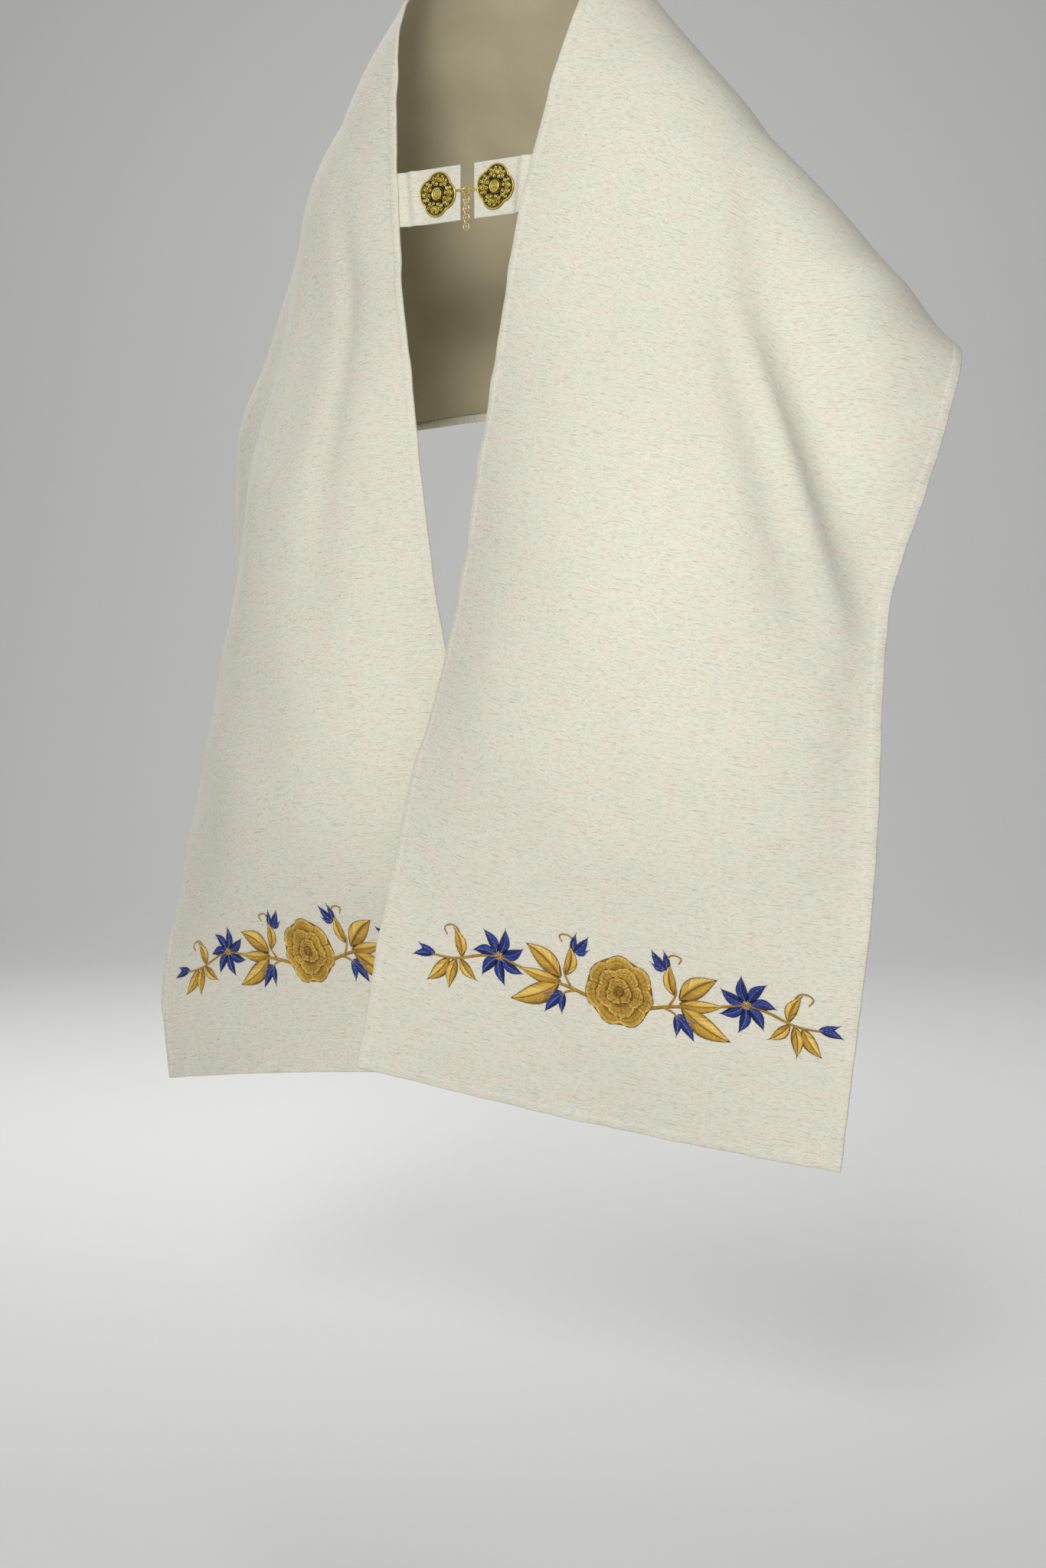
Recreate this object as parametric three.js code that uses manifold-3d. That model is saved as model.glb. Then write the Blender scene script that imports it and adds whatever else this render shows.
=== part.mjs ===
import * as THREE from 'three';
import { mergeVertices } from 'three/addons/utils/BufferGeometryUtils.js';
import Module from 'manifold-3d';

// A humeral veil: one long straight length of cream cloth with a lining, laid over the shoulders
// so that it stands up behind the neck, spreads over both upper arms and falls to the knees in
// front. Two tabs sewn inside the inner edges carry a hook and eye clasp across the chest.
// Millimetres. +Z is up, the front faces -Y, and the left half of the veil lies on +X.
// The origin is where the veil is held when worn, midway between its two shoulder rests.

const wasm = await Module();
wasm.setup();

// The cut of the cloth
const CLOTH_LENGTH = 2640;        // hem to hem, over the back
const CLOTH_WIDTH = 500;          // from the inner edge, at the neck, to the outer edge
const CLOTH_THICKNESS = 1.2;
const LINING_THICKNESS = 1.0;
const SEAM_GAP = 0.3;             // between pieces that are sewn or laid together
const LINING_FRONT = -CLOTH_THICKNESS - SEAM_GAP;
const LINING_BACK = LINING_FRONT - LINING_THICKNESS;
const ROWS_ALONG = 81;            // grid lines across the cloth, from hem to hem
const ROWS_ACROSS = 14;           // grid lines along the cloth, from edge to edge

// Sections of the left half, from the front hem up over the arm to the middle of the back.
// inner is on the edge by the neck, middle is halfway across, outer is on the other edge.
const LEFT_SECTIONS = [
  { at: 'hem', inner: [-76, -183, -972], middle: [174, -123, -1012], outer: [412, -80, -1035] },
  { at: 'border', inner: [-55, -183, -880], middle: [194, -144, -915], outer: [424, -78, -935] },
  { at: 'thigh', inner: [-36, -180, -780], middle: [208, -164, -814], outer: [436, -75, -832] },
  { at: 'hip', inner: [-8, -172, -660], middle: [222, -195, -690], outer: [444, -68, -695] },
  { at: 'waist', inner: [22, -160, -549], middle: [248, -200, -565], outer: [441, -52, -578] },
  { at: 'ribs', inner: [52, -140, -330], middle: [276, -152, -370], outer: [450, 4, -415] },
  { at: 'chest', inner: [78, -102, -88], middle: [268, -72, -204], outer: [449, 72, -290] },
  { at: 'collar', inner: [117, -55, 100], middle: [266, 5, -58], outer: [385, 140, -285] },
  { at: 'neck', inner: [88, 35, 172], middle: [196, 84, -18], outer: [245, 192, -290] },
  { at: 'nape', inner: [0, 85, 190], middle: [0, 142, -48], outer: [0, 214, -285] },
];

// The right half is told as if it lay on +X too, and is turned over to -X below. It passes
// behind the left half at the hem, and its arm is carried a little further back.
const RIGHT_SECTIONS = [
  { at: 'hem', inner: [-57, -118, -975], middle: [187, -120, -997], outer: [432, -80, -1035] },
  { at: 'border', inner: [-64, -118, -883], middle: [188, -113, -901], outer: [442, -78, -938] },
  { at: 'thigh', inner: [-48, -119, -783], middle: [198, -138, -813], outer: [432, -60, -832] },
  { at: 'hip', inner: [-18, -120, -660], middle: [216, -158, -690], outer: [425, -25, -695] },
  { at: 'waist', inner: [12, -118, -549], middle: [240, -142, -565], outer: [425, 15, -578] },
  { at: 'ribs', inner: [40, -130, -330], middle: [260, -115, -375], outer: [446, 62, -425] },
  { at: 'chest', inner: [84, -102, -88], middle: [266, -60, -212], outer: [450, 92, -318] },
  { at: 'collar', inner: [97, -55, 100], middle: [272, 8, -56], outer: [380, 150, -305] },
  { at: 'neck', inner: [92, 35, 172], middle: [212, 84, -16], outer: [248, 192, -296] },
  { at: 'nape', inner: [0, 85, 190], middle: [0, 142, -48], outer: [0, 214, -285] },
];

// The large soft folds: the line each follows over the laid-out cloth, along from the front hem
// and across from the inner edge, its half width, and its rise. A negative rise is a trough.
const FOLDS = [
  { half: 'left', along: [1060, 780], across: [310, 500], halfWidth: 120, rise: 42 },
  { half: 'left', along: [910, 830], across: [350, 440], halfWidth: 50, rise: 8 },
  { half: 'left', along: [930, 520], across: [262, 500], halfWidth: 36, rise: -26 },
  { half: 'right', along: [950, 770], across: [270, 500], halfWidth: 80, rise: 20 },
  { half: 'right', along: [930, 470], across: [250, 500], halfWidth: 50, rise: -21 },
  { half: 'right', along: [1190, 970], across: [-10, 110], halfWidth: 70, rise: 20 },
  { half: 'right', along: [660, 480], across: [300, 390], halfWidth: 50, rise: -8 },
];
const FOLD_END_SHARE = 0.1;       // what is left of a fold's rise at its two ends

// The tabs and the clasp on the chest
const TAB_HEIGHT = 55;
const TAB_THICKNESS = 2;
const TAB_MIDDLE_Z = -100;
const TAB_FRONT_Y = -97;
const TAB_END_X = 8.5;            // half the gap between the two tabs
const TAB_BEND_X = 58;            // from here a tab curves forward to its panel
const TAB_SEAM_ACROSS = 18;       // how far a tab reaches in under its panel
const TAB_SEAM_GAP = 0.7;
const TAB_LEVELS = 6;             // lines along a tab, from its lower edge to its upper one
const PLATE_X = 35.5;
const PLATE_RADIUS = 22.5;
const PLATE_THICKNESS = 1.8;
const PLATE_TURN = -12;           // degrees that each plate is turned in its own plane
const LOBE_SHIFT = 0.36;          // how far out a lobe's round lies, as a share of the radius
const PLATE_SPOKES = 28;
const PLATE_RINGS = [0.14, 0.25, 0.33, 0.5, 0.68, 0.82, 0.9, 0.97];  // shares of the plate's radius
const RIM_HEIGHT = 1.1;
const SCROLL_HEIGHT = 0.6;
const BOSS_RADIUS = 6.5;
const BOSS_HEIGHT = 2;
const CLASP_Z = -99;
const WIRE_RADIUS = 0.7;
const WIRE_SIDES = 6;
const EYE_RADIUS = 3.8;           // to the middle of the wire
const EYE_ARM_END = 4;            // from the eye to where its arm leaves the plate's level
const HOOK_ABOVE_EYE = 1.2;       // the hook lies this much above the eye's middle
const HOOK_PATH = [               // x, and y from the middle of the plate's thickness
  [-9.5, -0.9], [-5.5, -2.8], [-1.6, -2.8], [0.2, -0.2], [-1.6, 2.2], [-4.5, 2.3],
];
const LINK_RADIUS = 2.6;          // the small links, seen edge on
const RING_RADIUS = 3.5;          // the chain rings, seen face on
const RING_COUNT = 4;

// The embroidery above each hem, in sizes on the laid-out cloth
const STITCH_HEIGHT = 0.9;
const STITCH_LIFT = 0.45;         // between the cloth and the underside of the stitching
const STITCH_STEP = 24;           // the longest edge that may bend over the cloth as one
const BORDERS = [
  { name: 'embroidery_left', half: 'left', along: 143, across: 265 },
  { name: 'embroidery_right', half: 'right', along: 128, across: 250 },
];
const ROSE_RINGS = [
  { radius: 35, petals: 8, wave: 0.07, height: 1 },
  { radius: 24, petals: 6, wave: 0.07, height: 1.6 },
  { radius: 11, petals: 5, wave: 0.1, height: 2.2 },
];
const STAR_FLOWER = { x: 127, y: 9, tip: 28, notch: 12, heart: 5, petals: 7 };

// One half of the border, outwards from the rose. Stems are points to draw a curve through. Leaves,
// petals and buds start at a foot, turn in degrees from outwards, and bow sideways in the middle.
const STEMS = [
  { width: 4, through: [[28, -12], [50, -6], [86, 0], [127, 9]] },
  { width: 3.4, through: [[127, 9], [150, 4], [172, -4], [202, -7]] },
  { width: 2.6, through: [[50, -5], [57, 10], [50, 28], [53, 46], [62, 44], [59, 38]] },
  { width: 2.6, through: [[46, -8], [56, -12], [62, -18]] },
  { width: 2.6, through: [[168, -3], [170, 12], [180, 27], [190, 22], [186, 16]] },
];
const LEAVES = [
  { x: 60, y: 2, turn: 36, length: 46, width: 20, bow: 3 },
  { x: 60, y: -1, turn: 6, length: 44, width: 12, bow: -2 },
  { x: 62, y: -3, turn: -28, length: 58, width: 20, bow: -4 },
  { x: 55, y: 6, turn: 98, length: 30, width: 12, bow: 3 },
  { x: 168, y: -2, turn: 68, length: 28, width: 12, bow: 3 },
  { x: 170, y: -4, turn: 222, length: 25, width: 11, bow: 2 },
  { x: 174, y: -5, turn: -80, length: 30, width: 12, bow: 2 },
  { x: 182, y: -6, turn: -52, length: 34, width: 13, bow: -2 },
  { x: 47, y: 30, turn: 130, length: 22, width: 9, bow: 0 },
  { x: 47, y: 31, turn: 96, length: 17, width: 7, bow: 0 },
  { x: 58, y: -13, turn: -50, length: 29, width: 11, bow: 0 },
  { x: 59, y: -12, turn: -16, length: 20, width: 8, bow: 0 },
  { x: 198, y: -6, turn: -14, length: 24, width: 10, bow: 0 },
];

const colours = {
  cloth: { color: 0xdcd8c6, roughness: 0.85, metalness: 0 },
  lining: { color: 0xb3aa8a, roughness: 0.7, metalness: 0 },
  stitching: { color: 0xb8893a, roughness: 0.5, metalness: 0 },
  brass: { color: 0xb59540, roughness: 0.3, metalness: 1 },
};

const veil = new THREE.Group();

function add(name, geometry, colour) {
  const mesh = new THREE.Mesh(geometry, new THREE.MeshStandardMaterial(colours[colour]));
  mesh.name = name;
  veil.add(mesh);
}

function range(count) {
  return Array.from({ length: count }, (_, index) => index);
}

// A natural cubic spline: returns the function that reads the value between the knots.
function spline(knots, values) {
  const last = knots.length - 1;
  const bend = new Array(last + 1).fill(0);
  const carry = new Array(last + 1).fill(0);
  for (let i = 1; i < last; i++) {
    const span = knots[i + 1] - knots[i - 1];
    const share = (knots[i] - knots[i - 1]) / span;
    const pivot = share * bend[i - 1] + 2;
    const slopeAfter = (values[i + 1] - values[i]) / (knots[i + 1] - knots[i]);
    const slopeBefore = (values[i] - values[i - 1]) / (knots[i] - knots[i - 1]);
    bend[i] = (share - 1) / pivot;
    carry[i] = (6 * (slopeAfter - slopeBefore) / span - share * carry[i - 1]) / pivot;
  }
  bend[last] = 0;
  for (let i = last - 1; i >= 0; i--) bend[i] = bend[i] * bend[i + 1] + carry[i];
  return (at) => {
    let i = 0;
    while (i < last - 1 && knots[i + 1] < at) i++;
    const width = knots[i + 1] - knots[i];
    const b = (at - knots[i]) / width;
    const a = 1 - b;
    const curve = (a ** 3 - a) * bend[i] + (b ** 3 - b) * bend[i + 1];
    return a * values[i] + b * values[i + 1] + curve * width * width / 6;
  };
}

// A smooth rail through points, read off at even steps of its own length.
const FINE_STEPS = 2000;
function rail(points, count) {
  const knots = [0];
  for (let i = 1; i < points.length; i++) {
    knots.push(knots[i - 1] + points[i].distanceTo(points[i - 1]));
  }
  const axes = ['x', 'y', 'z'].map((axis) => spline(knots, points.map((point) => point[axis])));
  const fine = range(FINE_STEPS + 1).map((step) => {
    const at = knots.at(-1) * step / FINE_STEPS;
    return new THREE.Vector3(...axes.map((read) => read(at)));
  });
  const reached = [0];
  for (let i = 1; i < fine.length; i++) {
    reached.push(reached[i - 1] + fine[i].distanceTo(fine[i - 1]));
  }
  let i = 0;
  return range(count).map((step) => {
    const wanted = reached.at(-1) * step / (count - 1);
    while (i < fine.length - 2 && reached[i + 1] < wanted) i++;
    const share = (wanted - reached[i]) / (reached[i + 1] - reached[i]);
    return fine[i].clone().lerp(fine[i + 1], share);
  });
}

// The normal at each grid point, from its neighbours: along the cloth crossed with across it.
function gridNormals(grid) {
  const lastRow = grid.length - 1;
  const lastColumn = grid[0].length - 1;
  return grid.map((row, i) => row.map((_, j) => {
    const along = grid[Math.min(i + 1, lastRow)][j].clone().sub(grid[Math.max(i - 1, 0)][j]);
    const across = row[Math.min(j + 1, lastColumn)].clone().sub(row[Math.max(j - 1, 0)]);
    return along.cross(across).normalize();
  }));
}

// A wall between two grids of points of the same size, outer and inner, closed all round.
function wallBetween(outer, inner) {
  const rows = outer.length;
  const columns = outer[0].length;
  const vertices = [...outer.flat(), ...inner.flat()];
  const index = (face, i, j) => face * rows * columns + i * columns + j;
  const triangles = [];
  for (let i = 0; i < rows - 1; i++) {
    for (let j = 0; j < columns - 1; j++) {
      const [a, b, c, d] = [[i, j], [i + 1, j], [i + 1, j + 1], [i, j + 1]];
      for (const [p, q, r] of [[a, b, c], [a, c, d]]) {
        triangles.push(index(0, ...p), index(0, ...q), index(0, ...r));
        triangles.push(index(1, ...p), index(1, ...r), index(1, ...q));
      }
    }
  }
  const rim = [
    ...range(rows - 1).map((i) => [i, 0]),
    ...range(columns - 1).map((j) => [rows - 1, j]),
    ...range(rows - 1).map((i) => [rows - 1 - i, columns - 1]),
    ...range(columns - 1).map((j) => [0, columns - 1 - j]),
  ];
  rim.forEach((here, k) => {
    const next = rim[(k + 1) % rim.length];
    triangles.push(index(0, ...here), index(1, ...here), index(1, ...next));
    triangles.push(index(0, ...here), index(1, ...next), index(0, ...next));
  });
  return solidGeometry(vertices, triangles);
}

function solidGeometry(vertices, triangles) {
  const geometry = new THREE.BufferGeometry();
  const numbers = vertices.flatMap((vertex) => vertex.toArray());
  geometry.setAttribute('position', new THREE.Float32BufferAttribute(numbers, 3));
  geometry.setIndex(triangles);
  return geometry;
}

// The cloth's outer face. Each section is the parabola through the three rails at its place,
// and the folds then push it out or in along the normal.
function clothFace() {
  const place = (half) => (point) => new THREE.Vector3(half * point[0], point[1], point[2]);
  const rails = ['inner', 'middle', 'outer'].map((edge) => rail([
    ...RIGHT_SECTIONS.map((section) => section[edge]).map(place(-1)),
    ...LEFT_SECTIONS.map((section) => section[edge]).map(place(1)).reverse().slice(1),
  ], ROWS_ALONG));
  const grid = range(ROWS_ALONG).map((i) => range(ROWS_ACROSS).map((j) => {
    const t = j / (ROWS_ACROSS - 1);
    const point = rails[0][i].clone().multiplyScalar((1 - t) * (1 - 2 * t));
    point.addScaledVector(rails[1][i], 4 * t * (1 - t));
    return point.addScaledVector(rails[2][i], t * (2 * t - 1));
  }));
  const normals = gridNormals(grid);
  return grid.map((row, i) => row.map((point, j) => {
    const reached = CLOTH_LENGTH * i / (ROWS_ALONG - 1);
    const half = reached > CLOTH_LENGTH / 2 ? 'left' : 'right';
    const along = half === 'left' ? CLOTH_LENGTH - reached : reached;
    const across = CLOTH_WIDTH * j / (ROWS_ACROSS - 1);
    const folds = FOLDS.filter((fold) => fold.half === half);
    const rise = folds.reduce((sum, fold) => sum + foldRise(fold, along, across), 0);
    return point.clone().addScaledVector(normals[i][j], rise);
  }));
}

// How far one fold lifts the cloth at a place: a bell curve across its line, fading at its ends.
function foldRise({ along, across, halfWidth, rise }, atAlong, atAcross) {
  const line = new THREE.Vector2(along[1] - along[0], across[1] - across[0]);
  const length = line.length();
  line.normalize();
  const from = new THREE.Vector2(atAlong - along[0], atAcross - across[0]);
  const forward = from.dot(line);
  const sideways = from.cross(line);
  const inLine = THREE.MathUtils.clamp(forward, 0, length);
  const body = FOLD_END_SHARE + (1 - FOLD_END_SHARE) * Math.sin(Math.PI * inLine / length);
  const fade = Math.exp(-(((forward - inLine) / halfWidth) ** 2) - (sideways / halfWidth) ** 2);
  return rise * body * fade;
}

const face = clothFace();
const faceNormals = gridNormals(face);

function liftedFace(lift) {
  return face.map((row, i) => row.map((point, j) => (
    point.clone().addScaledVector(faceNormals[i][j], lift))));
}

// A point on or off the flat triangles of the cloth's face, by grid row and column.
function pointOff(row, column, lift) {
  const i = Math.min(Math.floor(row), ROWS_ALONG - 2);
  const j = Math.min(Math.floor(column), ROWS_ACROSS - 2);
  const alongShare = row - i;
  const acrossShare = column - j;
  const corner = (p, q) => face[p][q].clone().addScaledVector(faceNormals[p][q], lift);
  const point = corner(i, j);
  const far = corner(i + 1, j + 1);
  if (alongShare >= acrossShare) {
    const next = corner(i + 1, j);
    const alongStep = next.clone().sub(point).multiplyScalar(alongShare);
    return point.add(alongStep).addScaledVector(far.sub(next), acrossShare);
  }
  const next = corner(i, j + 1);
  const acrossStep = next.clone().sub(point).multiplyScalar(acrossShare);
  return point.add(acrossStep).addScaledVector(far.sub(next), alongShare);
}

// A place on a laid-out panel, from its hem and its inner edge, taken to the worn cloth.
function pointOnPanel(half, along, across, lift) {
  const reached = half === 'left' ? CLOTH_LENGTH - along : along;
  const row = reached / CLOTH_LENGTH * (ROWS_ALONG - 1);
  return pointOff(row, across / CLOTH_WIDTH * (ROWS_ACROSS - 1), lift);
}

// The lining lies behind the cloth, and both end at the same edges.
add('outer_cloth', wallBetween(face, liftedFace(-CLOTH_THICKNESS)), 'cloth');
add('lining', wallBetween(liftedFace(LINING_FRONT), liftedFace(LINING_BACK)), 'lining');

// The place along a panel's inner edge that stands at a height.
function alongAtHeight(half, z) {
  return range(CLOTH_LENGTH / 2).find((along) => pointOnPanel(half, along, 0, 0).z > z);
}

// A clasp tab: flat across the chest, then curving forward to lie under its panel's inner edge.
// The curve passes one point between the flat stretch and the seam, nearer to the seam.
const SOFT_SHARE = 0.6;
function tabGeometry(half) {
  const sign = half === 'left' ? 1 : -1;
  const under = LINING_BACK - TAB_SEAM_GAP;
  const rows = range(TAB_LEVELS).map((k) => {
    const z = TAB_MIDDLE_Z + TAB_HEIGHT * (k / (TAB_LEVELS - 1) - 0.5);
    const along = alongAtHeight(half, z);
    const free = [TAB_END_X, (TAB_END_X + TAB_BEND_X) / 2, TAB_BEND_X]
      .map((x) => new THREE.Vector3(sign * x, TAB_FRONT_Y, z));
    const sewn = [TAB_SEAM_ACROSS / 3, TAB_SEAM_ACROSS]
      .map((across) => pointOnPanel(half, along, across, under).setZ(z));
    const soft = new THREE.Vector3().lerpVectors(free[2], sewn[0], SOFT_SHARE);
    soft.y = (free[2].y + sewn[0].y) / 2;
    return [...free, soft, ...sewn];
  });
  const front = half === 'left' ? rows.reverse() : rows;
  const normals = gridNormals(front);
  const back = front.map((row, i) => row.map((point, j) => (
    point.clone().addScaledVector(normals[i][j], -TAB_THICKNESS))));
  return wallBetween(front, back);
}

add('clasp_tab_left', tabGeometry('left'), 'cloth');
add('clasp_tab_right', tabGeometry('right'), 'cloth');

function toSolid(geometry) {
  const bare = geometry.clone();
  bare.deleteAttribute('normal');
  bare.deleteAttribute('uv');
  const merged = mergeVertices(bare, 1e-3);
  return new wasm.Manifold(new wasm.Mesh({
    numProp: 3,
    vertProperties: new Float32Array(merged.getAttribute('position').array),
    triVerts: new Uint32Array(merged.index.array),
  }));
}

function fromSolid(solid) {
  const { vertProperties, triVerts } = solid.getMesh();
  const geometry = new THREE.BufferGeometry();
  geometry.setAttribute('position', new THREE.BufferAttribute(new Float32Array(vertProperties), 3));
  geometry.setIndex([...triVerts]);
  return geometry;
}

function joined(geometries) {
  return geometries.map(toSolid).reduce((whole, piece) => whole.add(piece));
}

// The plate's outline is four overlapping rounds, one to each side of its middle.
function plateRadius(angle) {
  const quarter = Math.PI / 2;
  const fromLobe = angle - quarter * Math.round(angle / quarter);
  const toRound = LOBE_SHIFT * Math.sin(fromLobe);
  const reach = Math.sqrt((1 - LOBE_SHIFT) ** 2 - toRound ** 2);
  return PLATE_RADIUS * (LOBE_SHIFT * Math.cos(fromLobe) + reach);
}

// Its face has a domed boss in the middle, eight low scrolls round it and a raised rim. share is
// how far out a place lies, as a share of the plate's radius in that direction.
function plateHeight(share, angle) {
  const fromBoss = share * plateRadius(angle) / BOSS_RADIUS;
  if (fromBoss < 1) return PLATE_THICKNESS + BOSS_HEIGHT * Math.sqrt(1 - fromBoss ** 2);
  const rim = RIM_HEIGHT * Math.exp(-(((share - 0.9) / 0.08) ** 2));
  const scroll = SCROLL_HEIGHT * (1 + Math.cos(8 * angle)) * Math.sin(Math.PI * share) ** 2 / 2;
  return PLATE_THICKNESS + rim + scroll;
}

function plateGeometry() {
  const vertices = [new THREE.Vector3(0, 0, 0), new THREE.Vector3(0, 0, plateHeight(0, 0))];
  const triangles = [];
  for (const angle of range(PLATE_SPOKES).map((k) => 2 * Math.PI * k / PLATE_SPOKES)) {
    const edge = plateRadius(angle);
    const spoke = (share, z) => new THREE.Vector3(
      share * edge * Math.cos(angle), share * edge * Math.sin(angle), z);
    vertices.push(spoke(1, 0), spoke(1, PLATE_THICKNESS * 0.8));
    for (const share of PLATE_RINGS) vertices.push(spoke(share, plateHeight(share, angle)));
  }
  const column = PLATE_RINGS.length + 2;
  range(PLATE_SPOKES).forEach((k) => {
    const here = 2 + k * column;
    const next = 2 + (k + 1) % PLATE_SPOKES * column;
    triangles.push(0, next, here, 1, here + 2, next + 2);
    triangles.push(here, next, next + 1, here, next + 1, here + 1);
    for (let ring = 2; ring < column - 1; ring++) {
      triangles.push(here + ring, here + ring + 1, next + ring + 1);
      triangles.push(here + ring, next + ring + 1, next + ring);
    }
    triangles.push(here + column - 1, here + 1, next + 1);
    triangles.push(here + column - 1, next + 1, next + column - 1);
  });
  return solidGeometry(vertices, triangles);
}

// A thin wire along a curve.
function wire(points, steps) {
  const section = new THREE.Shape();
  section.absarc(0, 0, WIRE_RADIUS, 0, 2 * Math.PI);
  return new THREE.ExtrudeGeometry(section, {
    curveSegments: WIRE_SIDES / 2,
    steps,
    extrudePath: new THREE.CatmullRomCurve3(points.map((point) => new THREE.Vector3(...point))),
  });
}

function ring(radius) {
  return new THREE.TorusGeometry(radius, WIRE_RADIUS, WIRE_SIDES, 2 * WIRE_SIDES);
}

// Plates face the front: the flat back lies on the tab and the rim and boss stand towards -Y.
const plateBackY = TAB_FRONT_Y - SEAM_GAP;
const claspY = plateBackY - PLATE_THICKNESS / 2;
function placedPlate(sign) {
  return plateGeometry()
    .rotateZ(THREE.MathUtils.degToRad(PLATE_TURN))
    .rotateX(Math.PI / 2)
    .translate(sign * PLATE_X, plateBackY, CLASP_Z);
}

const lobeX = PLATE_X - PLATE_RADIUS * 0.9;
const eye = ring(EYE_RADIUS).rotateX(Math.PI / 2).translate(0, claspY, CLASP_Z);
const eyeArm = wire([
  [lobeX, claspY, CLASP_Z],
  [EYE_RADIUS + EYE_ARM_END, claspY, CLASP_Z],
  [EYE_RADIUS, claspY, CLASP_Z],
], 2);
const hookZ = CLASP_Z + HOOK_ABOVE_EYE;
const hook = wire([
  [-lobeX, claspY, hookZ],
  ...HOOK_PATH.map(([x, fromMiddle]) => [x, claspY + fromMiddle, hookZ]),
], 14);
add('clasp_plate_left', fromSolid(joined([placedPlate(1), eye, eyeArm])), 'brass');
add('clasp_plate_right', fromSolid(joined([placedPlate(-1), hook])), 'brass');

// The chain tail hangs from the bottom of the eye: a small link edge on, then a ring face on,
// each wire lying in the last one's curve.
const wireStep = 2 * WIRE_RADIUS + SEAM_GAP;
let wireZ = CLASP_Z - EYE_RADIUS;
for (const turn of range(2 * RING_COUNT)) {
  const faceOn = turn % 2 === 1;
  const radius = faceOn ? RING_RADIUS : LINK_RADIUS;
  const middleZ = wireZ + wireStep - radius;
  const shape = ring(radius);
  const placed = faceOn ? shape.rotateX(Math.PI / 2) : shape.rotateY(Math.PI / 2);
  const name = faceOn ? `chain_ring_${(turn + 1) / 2}` : `chain_link_${turn / 2 + 1}`;
  add(name, placed.translate(0, claspY, middleZ), 'brass');
  wireZ = middleZ - radius;
}

function extruded(outline, height) {
  const shape = new THREE.Shape(outline.map(([x, y]) => new THREE.Vector2(x, y)));
  return new THREE.ExtrudeGeometry(shape, { depth: height, bevelEnabled: false });
}

function lobedOutline(radius, lobes, wave, count) {
  return range(count).map((k) => {
    const angle = 2 * Math.PI * k / count;
    const reach = radius * (1 + wave * Math.cos(lobes * angle));
    return [reach * Math.cos(angle), reach * Math.sin(angle)];
  });
}

// A leaf, petal or bud from its foot: widest a little below halfway, pointed at its tip.
function leafOutline({ length, width, bow }) {
  const stations = [0.03, 0.25, 0.55, 0.82];
  const edge = (side) => stations.map((share) => {
    const half = width / 2 * Math.sin(Math.PI * share ** 0.85);
    return [length * share, bow * 4 * share * (1 - share) + side * half];
  });
  return [...edge(-1), [length, 0], ...edge(1).reverse()];
}

function placedLeaf(leaf) {
  return extruded(leafOutline(leaf), STITCH_HEIGHT)
    .rotateZ(THREE.MathUtils.degToRad(leaf.turn))
    .translate(leaf.x, leaf.y, 0);
}

function stemGeometry({ width, through }) {
  const curve = new THREE.SplineCurve(through.map(([x, y]) => new THREE.Vector2(x, y)));
  const steps = 3 * (through.length - 1);
  const stations = range(steps + 1).map((k) => k / steps);
  const beside = (side) => stations.map((share) => {
    const point = curve.getPoint(share);
    const ahead = curve.getTangent(share);
    return [point.x - side * ahead.y * width / 2, point.y + side * ahead.x * width / 2];
  });
  return extruded([...beside(-1), ...beside(1).reverse()], STITCH_HEIGHT * 0.8);
}

// The whole border, laid flat: the rose in the middle and the same sprays to both sides.
function borderSolid() {
  const rose = ROSE_RINGS.map(({ radius, petals, wave, height }) => (
    extruded(lobedOutline(radius, petals, wave, petals * 3), STITCH_HEIGHT * height)));
  const { x, y, tip, notch, heart, petals } = STAR_FLOWER;
  const star = range(2 * petals).map((k) => {
    const angle = Math.PI * k / petals;
    const reach = k % 2 === 0 ? tip : notch;
    return [x + reach * Math.cos(angle), y + reach * Math.sin(angle)];
  });
  const spray = joined([
    extruded(star, STITCH_HEIGHT),
    extruded(lobedOutline(heart, 5, 0, 10), STITCH_HEIGHT * 1.5).translate(x, y, 0),
    ...STEMS.map(stemGeometry),
    ...LEAVES.map(placedLeaf),
  ]);
  return joined(rose).add(spray).add(spray.mirror([1, 0, 0]));
}

// Halves every edge longer than a step, again and again, so that the piece can bend.
function withShortEdges(solid, longest) {
  const { vertProperties, triVerts } = solid.getMesh();
  const count = vertProperties.length / 3;
  const points = range(count).map((k) => new THREE.Vector3().fromArray(vertProperties, 3 * k));
  let triangles = range(triVerts.length / 3).map((k) => [...triVerts.slice(3 * k, 3 * k + 3)]);
  for (let split = true; split;) {
    split = false;
    const middles = new Map();
    const middle = (a, b) => {
      if (points[a].distanceTo(points[b]) <= longest) return null;
      const key = Math.min(a, b) + ' ' + Math.max(a, b);
      if (!middles.has(key)) {
        middles.set(key, points.push(points[a].clone().lerp(points[b], 0.5)) - 1);
      }
      split = true;
      return middles.get(key);
    };
    triangles = triangles.flatMap(([a, b, c]) => {
      const [ab, bc, ca] = [middle(a, b), middle(b, c), middle(c, a)];
      const cuts = [ab, bc, ca].filter((cut) => cut !== null).length;
      if (cuts === 0) return [[a, b, c]];
      if (cuts === 3) return [[a, ab, ca], [ab, b, bc], [ca, bc, c], [ab, bc, ca]];
      if (cuts === 1) {
        if (ab !== null) return [[a, ab, c], [ab, b, c]];
        if (bc !== null) return [[b, bc, a], [bc, c, a]];
        return [[c, ca, b], [ca, a, b]];
      }
      if (ab === null) return [[c, ca, bc], [ca, a, b], [ca, b, bc]];
      if (bc === null) return [[a, ab, ca], [ab, b, c], [ab, c, ca]];
      return [[b, bc, ab], [bc, c, a], [bc, a, ab]];
    });
  }
  return { points, triangles };
}

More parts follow.
